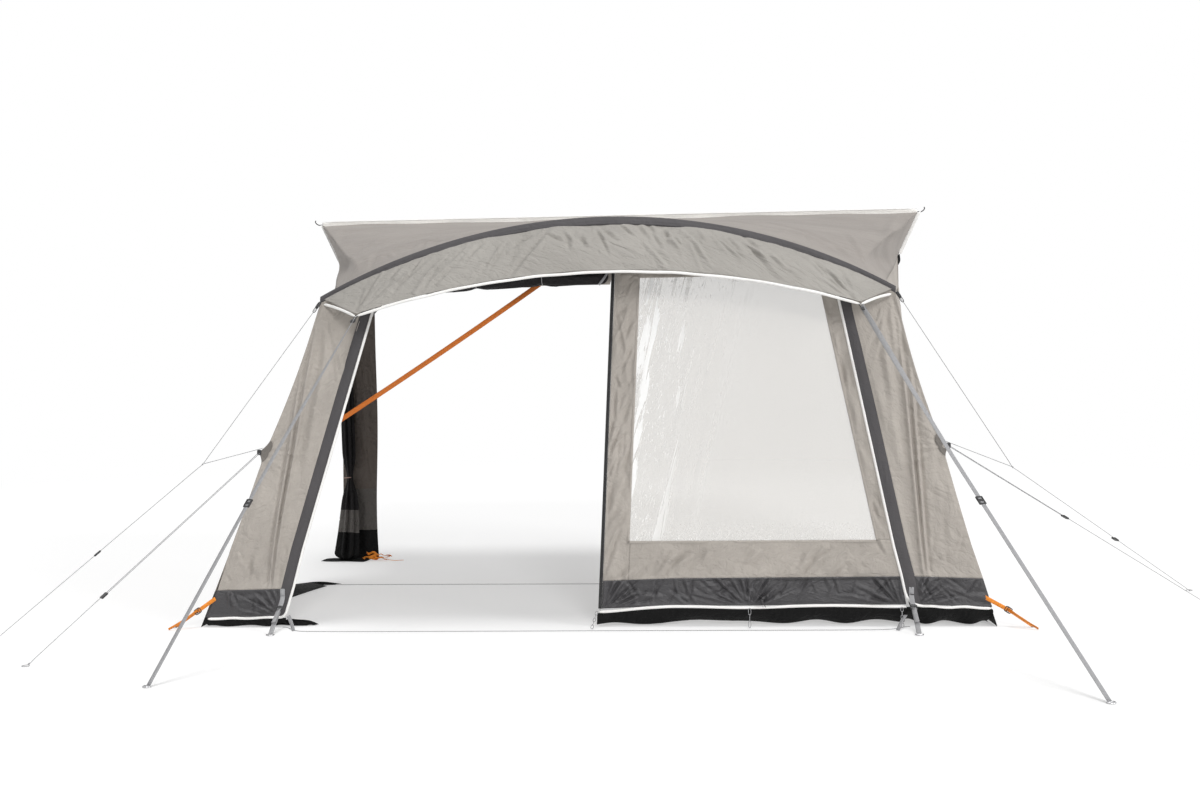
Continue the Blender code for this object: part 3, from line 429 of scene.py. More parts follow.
def add_piece(name, parts, materials, stands_for=(), body="awning"):
    """One mesh object made of grid parts, riding on a body."""
    starts = np.cumsum([0] + [len(part[0]) for part in parts])
    vertices = np.concatenate([part[0] for part in parts])
    faces = [[corner + start for corner in face] for part, start in zip(parts, starts.tolist()) for face in part[1]]
    mesh = bpy.data.meshes.new(name)
    mesh.from_pydata(vertices.tolist(), [], faces)
    for layer, index in (("cloth", 2), ("rim", 3)):
        values = np.concatenate([part[index] for part in parts]).astype(np.float32)
        mesh.uv_layers.new(name=layer).data.foreach_set("uv", values.ravel())
    for material in materials:
        mesh.materials.append(finish(material))
    if len(materials) > 1:
        mesh.polygons.foreach_set("material_index", np.concatenate([part[4] for part in parts]))
    mesh.shade_smooth()
    made = bpy.data.objects.new(name, mesh)
    bpy.context.scene.collection.objects.link(made)
    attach(made, body)
    if stands_for:
        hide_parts(*stands_for)
    return made


def add_cloth(name, base, relief, materials, stands_for=(), body="awning",
              towards=FRONTWARD, thickness=CLOTH, keep=None, shade=None):
    """A sheet of cloth: smooth places moved by their relief along a direction, and given a wall.
    """
    depth = bpy.context.scene.awning_sizes.crease_depth
    part = grid_part(base + (relief * depth)[..., None] * towards, keep=keep, shade=shade)
    made = add_piece(name, [part], materials, stands_for, body)
    wall = made.modifiers.new("thickness", "SOLIDIFY")
    wall.thickness = thickness
    wall.offset = 0.0
    wall.use_even_offset = True
    return made


def sweep(path, radius, sides, up=UPWARD):
    """Rings carried along a path: each point is the path's plus a radius turned square to its run."""
    path = np.asarray(path, float)
    run = unit(np.gradient(path, axis=0))
    side = unit(np.cross(run, up))
    over = np.cross(run, side)
    angle = np.linspace(0.0, math.tau, sides, endpoint=False)
    reach = np.asarray(radius, float)
    if reach.ndim < 2:
        reach = reach.reshape(-1, 1)
    return (
        path[:, None, :] + (reach * np.cos(angle))[..., None] * side[:, None, :]
        + (reach * np.sin(angle))[..., None] * over[:, None, :]
    )


def rounded_ends(count, ends):
    """Shares of a radius along a tube: quarter circles over the first and the last few rings."""
    inward = np.clip(np.arange(count) / ends, 0.0, 1.0)
    return np.maximum(np.sqrt(1 - np.square(1 - np.minimum(inward, inward[::-1]))), 0.12)


def tube_part(path, radius, sides, up=UPWARD):
    return grid_part(sweep(path, radius, sides, up), closed=True, caps=True)


def ribbon_part(path, across, width, thickness):
    """A flat strap's closed section, eight places round a rounded oblong, carried along a path."""
    path = np.asarray(path, float)
    run = unit(np.gradient(path, axis=0))
    across = np.broadcast_to(np.asarray(across, float), path.shape)
    across = unit(across - run * np.sum(across * run, axis=-1, keepdims=True))
    over = np.cross(across, run)
    wide = np.array((-0.5, -0.46, 0.0, 0.46, 0.5, 0.46, 0.0, -0.46)) * width
    high = np.array((0.0, 0.5, 0.5, 0.5, 0.0, -0.5, -0.5, -0.5)) * thickness
    places = path[:, None, :] + wide[:, None] * across[:, None, :] + high[:, None] * over[:, None, :]
    return grid_part(places[:, ::-1], closed=True, caps=True)


def bent(value, power):
    return np.sign(value) * np.abs(value) ** power


def block_part(centre, axes, half, power, rows=12, columns=20):
    """A superellipsoid: cosines and sines raised to a low power, so that it is a block with round edges."""
    u, v = rings(columns, np.linspace(-1, 1, rows) * 0.999 * math.pi / 2)
    level = bent(np.cos(v), power)
    local = np.stack([
        half[0] * level * bent(np.cos(u), power), half[1] * level * bent(np.sin(u), power),
        half[2] * bent(np.sin(v), power),
    ], -1)
    return grid_part(np.asarray(centre) + local @ np.asarray(axes, float), closed=True, caps=True)


def loop_part(centre, across, ahead, half, reach, wire, power=0.7, sides=8, steps=28):
    """A closed wire loop: a superellipse in the plane of two directions."""
    angle = np.linspace(0, math.tau, steps, endpoint=False)
    wide = bent(np.cos(angle), power) * half
    high = bent(np.sin(angle), power) * reach
    path = np.asarray(centre) + wide[:, None] * np.asarray(across) + high[:, None] * np.asarray(ahead)
    run = unit(np.roll(path, -1, axis=0) - np.roll(path, 1, axis=0))
    side = unit(np.cross(run, unit(np.cross(across, ahead))))
    over = np.cross(run, side)
    turn = np.linspace(0, math.tau, sides, endpoint=False)[None, :, None]
    places = path[:, None, :] + wire * (np.cos(turn) * side[:, None, :] + np.sin(turn) * over[:, None, :])
    vertices, faces, ways, rims, shades = grid_part(np.concatenate([places, places[:1]]), closed=True)
    joined = steps * sides
    faces = [[corner % joined for corner in face] for face in faces]
    return vertices[:joined], faces, ways, rims, shades


def smooth_path(points, steps):
    """Centripetal Catmull-Rom curve through the points, with the given steps between each two of them."""
    knots = [Vector(point) for point in points]
    knots = [2 * knots[0] - knots[1], *knots, 2 * knots[-1] - knots[-2]]
    times = [0.0]
    for start, end in zip(knots, knots[1:]):
        times.append(times[-1] + math.sqrt((end - start).length))

    def rate(i, j):
        return (knots[j] - knots[i]) / (times[j] - times[i])

    def slope(i):
        return rate(i - 1, i) - rate(i - 1, i + 1) + rate(i, i + 1)

    path = []
    for i in range(1, len(knots) - 2):
        span = times[i + 1] - times[i]
        for j in range(steps):
            t = j / steps
            path.append(
                knots[i] * (2 * t ** 3 - 3 * t ** 2 + 1) + slope(i) * span * (t ** 3 - 2 * t ** 2 + t)
                + knots[i + 1] * (3 * t ** 2 - 2 * t ** 3) + slope(i + 1) * span * (t ** 3 - t ** 2)
            )
    path.append(knots[-2])
    return np.array([tuple(point) for point in path])


# Shader node groups


class Graph:
    """Adds nodes to one tree and links them."""

    def __init__(self, tree):
        self.tree = tree

    def fill(self, sockets, values):
        """Links each named socket, or sets it where its value is a plain one."""
        for key, value in values.items():
            if isinstance(value, bpy.types.NodeSocket):
                self.tree.links.new(value, sockets[key])
            else:
                sockets[key].default_value = value

    def add(self, kind, inputs=None, **settings):
        node = self.tree.nodes.new(kind)
        for key, value in settings.items():
            setattr(node, key, value)
        self.fill(node.inputs, inputs or {})
        return node

    def math(self, operation, first, second=0.0, clamp=False):
        return self.add("ShaderNodeMath", {0: first, 1: second}, operation=operation, use_clamp=clamp).outputs[0]

    def times(self, first, second):
        return self.math("MULTIPLY", first, second)

    def plus(self, first, second):
        return self.math("ADD", first, second)

    def minus(self, first, second):
        return self.math("SUBTRACT", first, second)

    def most(self, first, second, clamp=False):
        return self.math("MAXIMUM", first, second, clamp)

    def wave(self, way, rate):
        return self.math("SINE", self.times(way, rate))

    def noise(self, vector, scale, detail=2.0, roughness=0.5, distortion=0.0):
        inputs = {
            "Vector": vector, "Scale": scale, "Detail": detail, "Roughness": roughness, "Distortion": distortion,
        }
        return self.add("ShaderNodeTexNoise", inputs).outputs["Fac"]

    def range(self, value, low, high, to_low=0.0, to_high=1.0):
        inputs = {"Value": value, "From Min": low, "From Max": high, "To Min": to_low, "To Max": to_high}
        return self.add("ShaderNodeMapRange", inputs, interpolation_type="SMOOTHSTEP").outputs["Result"]

    def mapped(self, vector, turn=0.0, scale=(1.0, 1.0, 1.0)):
        inputs = {"Vector": vector, "Rotation": (0.0, 0.0, turn), "Scale": scale}
        return self.add("ShaderNodeMapping", inputs).outputs["Vector"]

    def split(self, vector):
        return self.add("ShaderNodeSeparateXYZ", {"Vector": vector}).outputs

    def way(self, layer="cloth"):
        return self.add("ShaderNodeUVMap", uv_map=layer).outputs["UV"]

    def place(self):
        return self.add("ShaderNodeTexCoord").outputs["Object"]

    def placed(self, tree, vector, **inputs):
        return self.add("ShaderNodeGroup", {"Vector": vector, **inputs}, node_tree=tree).outputs

    def tinted(self, colour, amount, other):
        node = self.add("ShaderNodeMix", data_type="RGBA")
        sockets = {socket.identifier: socket for socket in node.inputs}
        self.fill(sockets, {"Factor_Float": amount, "A_Color": colour, "B_Color": other})
        return next(socket for socket in node.outputs if socket.identifier == "Result_Color")

    def bumped(self, shader, height, distance, strength=1.0, **normal):
        inputs = {"Height": height, "Distance": distance, "Strength": strength, **normal}
        made = self.add("ShaderNodeBump", inputs).outputs["Normal"]
        self.fill(shader.inputs, {"Normal": made})
        return made


def group_of(name, inputs, outputs, build):
    """A shader node group, built once: build gets its graph and input sockets and gives its outputs in order."""
    found = bpy.data.node_groups.get(name)
    if found:
        return found
    tree = bpy.data.node_groups.new(name, "ShaderNodeTree")
    for socket in inputs:
        kind = "NodeSocketVector" if socket in ("Vector", "Rim") else "NodeSocketFloat"
        tree.interface.new_socket(socket, in_out="INPUT", socket_type=kind)
    for socket in outputs:
        tree.interface.new_socket(socket, in_out="OUTPUT", socket_type="NodeSocketFloat")
    graph = Graph(tree)
    entry = graph.add("NodeGroupInput")
    leave = graph.add("NodeGroupOutput")
    for index, value in enumerate(build(graph, entry.outputs)):
        tree.links.new(value, leave.inputs[index])
    return tree


def weave_group():
    """Plain weave: the product of two sines across and along the threads. Its shade is a slub noise."""
    def build(graph, entry):
        across, along, _ = graph.split(entry["Vector"])
        rate = graph.math("DIVIDE", math.pi, entry["Thread"])
        warp = graph.noise(graph.mapped(entry["Vector"], scale=(900.0, 25.0, 1.0)), 1.0)
        weft = graph.noise(graph.mapped(entry["Vector"], scale=(25.0, 900.0, 1.0)), 1.0)
        return graph.times(graph.wave(across, rate), graph.wave(along, rate)), graph.times(graph.plus(warp, weft), 0.5)

    return group_of("cloth weave", ["Vector", "Thread"], ["Height", "Slub"], build)


def stitch_group():
    """Two rows of dashes at an inset from the rim, and the step of the folded hem."""
    def build(graph, entry):
        across, along, _ = graph.split(entry["Vector"])
        rim_across, rim_along, _ = graph.split(entry["Rim"])

        def dashes(way, rim):
            dash = graph.math("LESS_THAN", graph.math("FRACT", graph.math("DIVIDE", way, entry["Pitch"])), 0.62)
            off = graph.math("ABSOLUTE", graph.minus(rim, entry["Inset"]))
            return graph.times(dash, graph.range(off, 0.0004, 0.0011, 1.0, 0.0))

        nearest = graph.math("MINIMUM", rim_across, rim_along)
        step = graph.plus(entry["Inset"], 0.002)
        hem = graph.range(graph.minus(nearest, step), 0.0, 0.0015, 1.0, 0.0)
        return graph.most(dashes(along, rim_across), dashes(across, rim_along)), hem

    return group_of("stitched hem", ["Vector", "Rim", "Inset", "Pitch"], ["Thread", "Hem"], build)


def crinkle_group():
    """Handling creases of coated cloth: two bent noises of unlike pitch, folded about their middle."""
    def build(graph, entry):
        coarse = graph.noise(entry["Vector"], graph.math("DIVIDE", 1.0, entry["Pitch"]), 3.0, 0.5, 0.6)
        fine = graph.noise(entry["Vector"], graph.math("DIVIDE", 3.1, entry["Pitch"]), 4.0, 0.6, 1.2)
        folded = graph.math("ABSOLUTE", graph.minus(coarse, 0.5))
        return graph.plus(folded, graph.times(fine, 0.3)), graph.noise(entry["Vector"], 2.1, 4.0, 0.55)

    return group_of("crinkles", ["Vector", "Pitch"], ["Height", "Blotch"], build)


def webbing_group():
    """Ribs across a strap and a lengthwise herringbone: sines along it, turned by the side of the middle."""
    def build(graph, entry):
        across, along, _ = graph.split(entry["Vector"])
        ribs = graph.wave(graph.plus(along, graph.math("PINGPONG", across, 0.004)), math.tau / 0.0022)
        height = graph.plus(ribs, graph.times(graph.wave(across, math.tau / 0.0016), 0.4))
        return height, graph.noise(entry["Vector"], 60.0, 3.0)

    return group_of("webbing", ["Vector"], ["Height", "Wear"], build)


def braid_group():
    """Braided sheath: two sets of strands that wind round the cord in opposite senses."""
    def build(graph, entry):
        around, along, _ = graph.split(entry["Vector"])
        turn, run = graph.times(around, 2000.0), graph.times(along, 1300.0)
        height = graph.most(graph.math("SINE", graph.plus(turn, run)), graph.math("SINE", graph.minus(turn, run)))
        return height, graph.math("GREATER_THAN", graph.wave(along, 700.0), 0.82)

    return group_of("braid", ["Vector"], ["Height", "Fleck"], build)


def painted_glint_group():
    """Painted highlights of a clear film, where its creases would glint: long slanted noises cut to thin streaks,
    strongest near the left edge.
    """
    def build(graph, entry):
        across, along, _ = graph.split(entry["Vector"])
        slanted = graph.mapped(entry["Vector"], turn=0.19)
        bands = graph.noise(graph.mapped(slanted, scale=(11.0, 0.9, 1.0)), 1.0, 2.0, 0.5, 0.4)
        long_streaks = graph.noise(graph.mapped(slanted, scale=(42.0, 3.0, 1.0)), 1.0, 5.0, 0.65, 0.8)
        thin_streaks = graph.noise(graph.mapped(slanted, scale=(130.0, 22.0, 1.0)), 1.0, 4.0, 0.65, 1.2)
        turned = graph.mapped(entry["Vector"], turn=-0.5, scale=(95.0, 50.0, 1.0))
        specks = graph.noise(turned, 1.0, 3.0, 0.7, 1.6)
        drawn = graph.plus(across, graph.times(graph.minus(1.33, along), 0.15))
        left = graph.range(drawn, 0.10, 0.75, 1.0, 0.0)
        band = graph.times(graph.range(bands, 0.50, 0.60), left)
        broken = graph.range(graph.plus(long_streaks, graph.times(band, 0.20)), 0.58, 0.68)
        streak = graph.times(broken, graph.plus(graph.times(left, 0.9), 0.10))
        fine = graph.range(graph.plus(thin_streaks, graph.times(left, 0.08)), 0.64, 0.70)
        fine = graph.times(fine, graph.plus(graph.times(left, 0.7), 0.25))
        soft = graph.times(band, graph.range(long_streaks, 0.40, 0.52, 0.35, 1.0))
        # Painted glints: specks along the film's lower edge and scattered bright spots.
        low = graph.times(graph.range(along, 0.0, 0.16, 0.8, 0.0), graph.range(specks, 0.50, 0.64))
        spots = graph.times(graph.range(specks, 0.68, 0.74), 0.7)
        painted_glint_mask = graph.most(graph.most(streak, fine), graph.most(soft, low))
        return graph.most(painted_glint_mask, spots, clamp=True), long_streaks

    return group_of("film creases", ["Vector"], ["Glint", "Height"], build)


def grain_group():
    """Moulded plastic: a fine spark-eroded grain and faint scuffs."""
    def build(graph, entry):
        scuff = graph.noise(graph.mapped(entry["Vector"], turn=0.5, scale=(400.0, 60.0, 400.0)), 1.0, 3.0, 0.6)
        return graph.noise(entry["Vector"], 2600.0, 2.0), graph.range(scuff, 0.60, 0.72)

    return group_of("moulded grain", ["Vector"], ["Height", "Scuff"], build)


# Materials


def new_material(name, roughness, metallic=0.0):
    made = bpy.data.materials.new(name)
    made.use_nodes = True
    graph, shader = Graph(made.node_tree), made.node_tree.nodes["Principled BSDF"]
    graph.fill(shader.inputs, {"Roughness": roughness, "Metallic": metallic})
    return made, graph, shader


def solid(colour, factor=1.0):
    return (*[min(c * factor, 1.0) for c in colour], 1.0)


def cloth_material(name, colour, roughness=0.78, crinkle=0.010, pitch=0.11, hem=True, gloss=0.0, stitch=1.35):
    """Woven cloth: slubs and soft blotches in its colour, a weave, crinkles, a folded hem and its stitches."""
    made, graph, shader = new_material(name, roughness)
    way = graph.way()
    weave = graph.placed(weave_group(), way, Thread=0.0009)
    wrinkles = graph.placed(crinkle_group(), way, Pitch=pitch)
    shade = graph.plus(graph.times(weave["Slub"], 0.5), graph.times(wrinkles["Blotch"], 0.5))
    toned = graph.tinted(solid(colour, 0.90), graph.range(shade, 0.38, 0.62), solid(colour, 1.07))
    height = graph.times(wrinkles["Height"], crinkle)
    if hem:
        seams = graph.placed(stitch_group(), way, Rim=graph.way("rim"), Inset=0.009, Pitch=0.0042)
        toned = graph.tinted(toned, graph.times(seams["Thread"], 0.55), solid(colour, stitch))
        height = graph.plus(height, graph.times(seams["Hem"], 0.0006))
        height = graph.minus(height, graph.times(seams["Thread"], 0.0004))
    graph.bumped(shader, weave["Height"], 0.00006, 0.6, Normal=graph.bumped(shader, height, 1.0))
    dark = max(colour) < DARK_CLOTH
    graph.fill(shader.inputs, {
        "Base Color": toned, "Specular IOR Level": 0.15 if dark else 0.5, "Sheen Weight": 0.0 if dark else 0.05,
        "Sheen Roughness": 0.5, "Coat Weight": gloss, "Coat Roughness": 0.35,
    })
    return made


def webbing_material(name, colour):
    made, graph, shader = new_material(name, 0.62)
    weave = graph.placed(webbing_group(), graph.way())
    toned = graph.tinted(solid(colour, 0.82), weave["Wear"], solid(colour, 1.12))
    # Painted shade: the grooves between the ribs are darkened by the weave's height.
    ribbed_with_painted_shade = graph.tinted(toned, graph.range(weave["Height"], -1.4, 1.4, 0.25, 0.0), solid(colour, 0.45))
    graph.fill(shader.inputs, {"Base Color": ribbed_with_painted_shade})
    graph.bumped(shader, weave["Height"], 0.0002)
    return made


def cord_material(name, colour, fleck):
    made, graph, shader = new_material(name, 0.66)
    braid = graph.placed(braid_group(), graph.way())
    # Painted shade and highlight: the braid's grooves are darker and its crests lighter, by the braid's height.
    strands = graph.tinted(solid(colour, 0.7), graph.range(braid["Height"], 0.2, 1.0), solid(colour, 1.15))
    flecked = graph.tinted(strands, graph.times(braid["Fleck"], 0.7), (*fleck, 1.0))
    graph.fill(shader.inputs, {"Base Color": flecked})
    graph.bumped(shader, braid["Height"], 0.0002)
    return made


def film_material(name, colour):
    """Clear film: mostly see-through grey, painted whiter and denser where a crease glints, as a painted highlight."""
    made, graph, shader = new_material(name, 0.22)
    creased = graph.placed(painted_glint_group(), graph.way())
    # Painted highlight: the glint mask whitens the film and makes it denser.
    toned = graph.tinted(solid(colour), creased["Glint"], (1.0, 1.0, 0.99, 1.0))
    alpha = graph.range(creased["Glint"], 0.0, 1.0, 0.27, 0.80)
    graph.fill(shader.inputs, {"Base Color": toned, "Alpha": alpha})
    graph.bumped(shader, creased["Height"], 0.004, 0.5)
    return made


def plastic_material(name, colour):
    made, graph, shader = new_material(name, 0.42)
    grain = graph.placed(grain_group(), graph.place())
    worn = tuple(mix(c, 0.16, 0.35) for c in colour)
    graph.fill(shader.inputs, {"Base Color": graph.tinted(solid(colour), grain["Scuff"], solid(worn))})
    graph.bumped(shader, grain["Height"], 0.00005)
    return made


def metal_material(name, colour, roughness=0.32):
    made, graph, shader = new_material(name, roughness, 1.0)
    grain = graph.placed(grain_group(), graph.place())
    graph.fill(shader.inputs, {
        "Base Color": graph.tinted(solid(colour), grain["Scuff"], solid(colour, 0.72)),
        "Roughness": graph.range(grain["Scuff"], 0.0, 1.0, roughness, roughness + 0.2),
    })
    graph.bumped(shader, grain["Height"], 0.00004)
    return made


# Each finish: its slot, its maker, a key of the user's colours or a fixed colour, and the maker's other settings.
# A "tone" multiplies the colour.
FINISHES = {
    "awning cloth": ("awning_fabric", cloth_material, "awning", dict(crinkle=0.022, pitch=0.13)),
    # Painted shade: the roof's cloth is the awning's, in a darker tone.
    "roof cloth": ("awning_fabric", cloth_material, "roof", dict(crinkle=0.014, pitch=0.14)),
    # Painted shade: the awning's cloth darkened, laid on the tab's point.
    "tab cloth": ("dark_trim", cloth_material, "awning", dict(tone=0.42, crinkle=0.010, pitch=0.05)),
    "visor cloth": ("visor_fabric", cloth_material, "visor", dict(crinkle=0.022, pitch=0.12)),
    "arch trim": ("dark_trim", cloth_material, "trim", dict(roughness=0.7, crinkle=0.006, pitch=0.06)),
    "mud band cloth": (
        "mud_fabric", cloth_material, "mud", dict(roughness=0.50, crinkle=0.018, pitch=0.10, gloss=0.12)),
    "black flap cloth": (
        "black_flap", cloth_material, "flap", dict(roughness=0.65, crinkle=0.020, pitch=0.08, stitch=3.0)),
    # Painted shade: a dark tone for the returns seen from inside the awning.
    "inner cloth": ("dark_trim", cloth_material, "inner", dict(roughness=0.6, crinkle=0.026, pitch=0.10, gloss=0.05)),
    "mesh patch cloth": (
        "dark_trim", cloth_material, "mesh", dict(roughness=0.6, crinkle=0.030, pitch=0.05, gloss=0.05)),
    "rolled door cloth": (
        "dark_trim", cloth_material, "trim", dict(tone=0.27, roughness=0.6, crinkle=0.020, pitch=0.07, hem=False)),
    "piping": ("white_piping", cloth_material, "piping", dict(roughness=0.55, crinkle=0.002, pitch=0.03, hem=False)),
    "rail tape": ("cream_beading", cloth_material, (0.86, 0.84, 0.80), dict(roughness=0.6, crinkle=0.006, pitch=0.07)),
    "beam sleeve": (
        "air_beam", cloth_material, (0.09, 0.088, 0.092), dict(roughness=0.55, crinkle=0.010, pitch=0.09, hem=False)),
    "pad cover": (
        "pad_foam", cloth_material, (0.014, 0.014, 0.015), dict(roughness=0.8, crinkle=0.008, pitch=0.05, hem=False)),
    "window film": ("window_film", film_material, "film", {}),
    "zip tape": ("black_plastic", webbing_material, (0.022, 0.022, 0.023), {}),
    "tension band": ("orange_band", webbing_material, "band", {}),
    "orange webbing": ("orange_webbing", webbing_material, "orange", {}),
    "grey webbing": ("grey_webbing", webbing_material, "webbing", {}),
    "guy cord": ("guy_cord", cord_material, "cord", dict(fleck=(0.55, 0.55, 0.56))),
    "orange cord": ("orange_webbing", cord_material, "orange", dict(fleck=(0.75, 0.60, 0.45))),
    "tie cord": ("guy_cord", cord_material, (0.42, 0.25, 0.20), dict(fleck=(0.62, 0.50, 0.46))),
    "black plastic": ("black_plastic", plastic_material, "plastic", {}),
    "ring metal": ("ring_metal", metal_material, (0.46, 0.46, 0.47), {}),
}


def finish(name):
    """The finish's material, made from the user's colours when it is first asked for."""
    _, maker, colour, settings = FINISHES[name]
    if isinstance(colour, str):
        colour = getattr(bpy.context.scene.awning_colours, colour)
    others = {key: value for key, value in settings.items() if key != "tone"}
    toned = tuple(settings.get("tone", 1.0) * c for c in colour)
    return bpy.data.materials.get(name) or maker(name, toned, **others)


def refinish(node, name):
    """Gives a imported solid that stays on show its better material."""
    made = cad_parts[node]
    made.data.materials.clear()
    made.data.materials.append(finish(name))
    made.data.shade_smooth()
    made.data.set_sharp_from_angle(angle=math.radians(35))


# Roof


def corner_share(at):
    """How far a share of the roof's half width is past the rail's end, on its way to the notch."""
    return np.clip((np.abs(at) - RAIL_SHARE) / (1 - RAIL_SHARE), 0.0, 1.0)


def roof_edges(front, at):
    """Places of the roof's front and rear edges at shares of its half width.

    The front edge follows the arch. The rear edge is straight to the rail's end and then drops to the notch.
    """
    x = front.hip_half * at
    z = front.arch(x) - CLOTH
    fore = np.stack([front.x(x, z), np.full_like(x, FRONT_Y + CLOTH), z], -1)
    drop = corner_share(at)
    straight = front.rail_half * np.minimum(np.abs(at) / RAIL_SHARE, 1.0)
    rear_x = np.sign(at) * mix(straight, front.notch_half, drop)
    rear_z = mix(front.rail_height, front.notch_height, drop)
    return fore, np.stack([rear_x, np.full_like(x, REAR_Y - 2 * CLOTH), rear_z], -1)


def side_bow(depth_share):
    """How far the roof's taut side edge is drawn in: a gamma curve with its peak near the front."""
    near = depth_share / BOW_PEAK
    return SIDE_BOW * near * np.exp(1 - near)


def build_roof(front):
    """Ruled between its front and rear edges, sagging by a parabola, its side edges and gussets bowed in by sines.

    Creases fan out of both hips and stand behind the arch. The hem of each rear corner is a flat strip.
    """
    rng = np.random.default_rng(11)
    at = np.concatenate([
        np.linspace(-1, -RAIL_SHARE, 12), np.linspace(-RAIL_SHARE, RAIL_SHARE, 221)[1:],
        np.linspace(RAIL_SHARE, 1, 12)[1:],
    ])
    at, v = np.meshgrid(at, np.linspace(0.0, 1.0, 101))
    fore, rear = roof_edges(front, at)
    base = mix(fore, rear, v[..., None])
    base[..., 2] -= front.roof_sag * 4 * v * (1 - v) * (1 - np.square(at))
    edge = np.square(np.clip(np.abs(at) * 2.5 - 1.5, 0.0, 1.0))
    gusset = GUSSET_BOW * np.sin(np.pi * corner_share(at)) * np.sin(np.pi * v)
    base[..., 0] -= np.sign(at) * (side_bow(v) * edge + gusset)
    x, y = base[..., 0], base[..., 1] - FRONT_Y
    area = ((-1.4, 0.0), (1.4, 0.35))
    relief = creases(x, y, rng, 26, area, math.pi / 2, 0.25, (0.25, 0.8), (0.010, 0.025), (0.002, 0.006))
    relief += billow(x, y, rng, 0.75, 0.006)
    for _, side in SIDES:
        headings = (math.pi / 2 - side * 0.75, math.pi / 2 + side * 0.5)
        relief += fan(x, y, rng, 6, (side * 1.42, 0.02), headings, (0.8, 2.0), 0.022, 0.009)
        relief += crease(x, y, (side * 1.93, 2.35), (side * 1.55, 0.6), 0.030, 0.012)
    relief *= border(at / 2 + 0.5, v, (0.04, 0.04))
    scallops = 0.006 * np.sin(x * 7.1 + 1.0) * np.sin(x * 2.3) * np.clip(v * 12 - 11, 0.0, 1.0)
    relief += scallops * (np.abs(at) < RAIL_SHARE)
    add_cloth("roof", base, relief, ["roof cloth"], ["roof_panel"], towards=UPWARD)

    for name, side in SIDES:
        width = 0.012 if name == "left" else 0.026
        drop = np.linspace(0.0, 1.0, 40)[:, None]
        top = np.array((side * front.rail_half, REAR_Y - 0.004, front.rail_height))
        foot = np.array((side * front.notch_half, REAR_Y - 0.004, front.notch_height))
        across = np.array((side, 0.0, 0.35)) * width * np.linspace(0.0, 1.0, 6)[None, :, None]
        relief = 0.0015 * np.sin(drop * 40) * np.linspace(0, 1, 6)
        add_cloth(f"{name}_corner_hem", mix(top, foot, drop)[:, None, :] + across, relief, ["piping"], ())


def build_roof_trim(front):
    """The beam's sleeve along the arch: a strip a little proud of the front, puckered by its stitching."""
    rng = np.random.default_rng(12)
    u, v = grid(320, 8)
    x = mix(-front.hip_half, front.hip_half, u)
    middle = 1 - np.square(x / front.hip_half)
    base = front.place(x, front.arch(x) - (ARCH_TRIM + TRIM_DROP * middle) * v, TRIM_FLARE * middle * v)
    relief = 0.0035 * np.sin(np.pi * v) + billow(x, v, rng, 0.30, 0.0010)
    relief += 0.0008 * np.sin(x * 95 + 3 * np.sin(x * 11)) * np.sin(np.pi * v)
    add_cloth("arch_trim", base, relief, ["arch trim"], ["roof_trim"])


def build_rail(front):
    """Tape along the rear of the roof with its round bead, and a dark pull cord at each end."""
    u, v = grid(260, 4)
    x = mix(-front.rail_half, front.rail_half, u)
    top = front.rail_height + 0.022
    base = np.stack([x, np.full_like(x, REAR_Y + 0.0012), mix(front.rail_height - 0.010, top, v)], -1)
    relief = 0.0006 * np.sin(x * 13) * np.sin(np.pi * v)
    add_cloth("rail_tape", base, relief, ["rail tape"], ["rail_beading"])
    bead_x = np.linspace(-front.rail_half, front.rail_half, 60)
    path = np.stack([bead_x, np.full(60, REAR_Y + 0.0012), np.full(60, top + 0.0038)], -1)
    bead = tube_part(path, 0.004 * rounded_ends(60, 2), 12)
    add_piece("rail_bead", [bead], ["piping"])
    for name, side in SIDES:
        end = np.array((side * front.rail_half, REAR_Y, top))
        curl = [(0.0, -0.016), (0.022, -0.018), (0.042, -0.008), (0.050, 0.006), (0.046, 0.016)]
        path = smooth_path([end + np.array((side * out, 0.0, rise)) for out, rise in curl], 8)
        hook = tube_part(path, 0.0036 * rounded_ends(len(path), 3), 10, FRONTWARD)
        add_piece(f"{name}_rail_pull", [hook], ["black plastic"])


# Visor


def build_visor(front):
    """From below the arch trim forward and down to the piped edge, hung with creases towards its tips."""
    rng = np.random.default_rng(21)
    u, v = grid(420, 56)
    at = 2 * u - 1
    hip_x = front.hip_half - HIP_INSET
    near_hip = np.abs(at) ** 3
    lift = mix(0.004, 0.007, near_hip)
    high = front.place(at * hip_x, front.under(at * hip_x) + lift, mix(CLOTH * 1.5, 0.0055, near_hip))
    base = mix(high, front.visor_edge(at * TIP_HALF), v[..., None])
    bulge = 0.016 * np.sin(np.pi * v) * (1 - at ** 4)
    base[..., 1] -= bulge
    base[..., 2] += bulge
    x = at * mix(hip_x, TIP_HALF, v)
    b = -v * 0.34
    relief = np.zeros_like(x)
    for _, side in SIDES:
        area = ((min(side * 0.15, side * 1.15), -0.16), (max(side * 0.15, side * 1.15), -0.01))
        heading = -math.pi / 2 + side * 0.62
        relief += creases(x, b, rng, 22, area, heading, 0.20, (0.10, 0.26), (0.008, 0.018), (0.004, 0.011))
        headings = (math.pi / 2 + side * 0.15, math.pi / 2 + side * 0.95)
        relief += fan(x, b, rng, 6, (side * 1.235, -0.335), headings, (0.18, 0.42), 0.012, 0.011)
    area = ((-0.35, -0.12), (0.95, 0.0))
    relief += creases(x, b, rng, 18, area, -1.15, 0.25, (0.08, 0.22), (0.008, 0.016), (0.004, 0.011))
    relief += billow(x, b, rng, 0.42, 0.007)
    relief += 0.0012 * np.sin(x * 62 + 2 * np.sin(x * 7)) * np.exp(-v * 9)
    relief *= border(u, v, (0.01, 0.05))
    towards = unit(np.array((0.0, -0.87, 0.49)))
    add_cloth("visor", base, relief, ["visor cloth"], ["front_visor"], towards=towards)


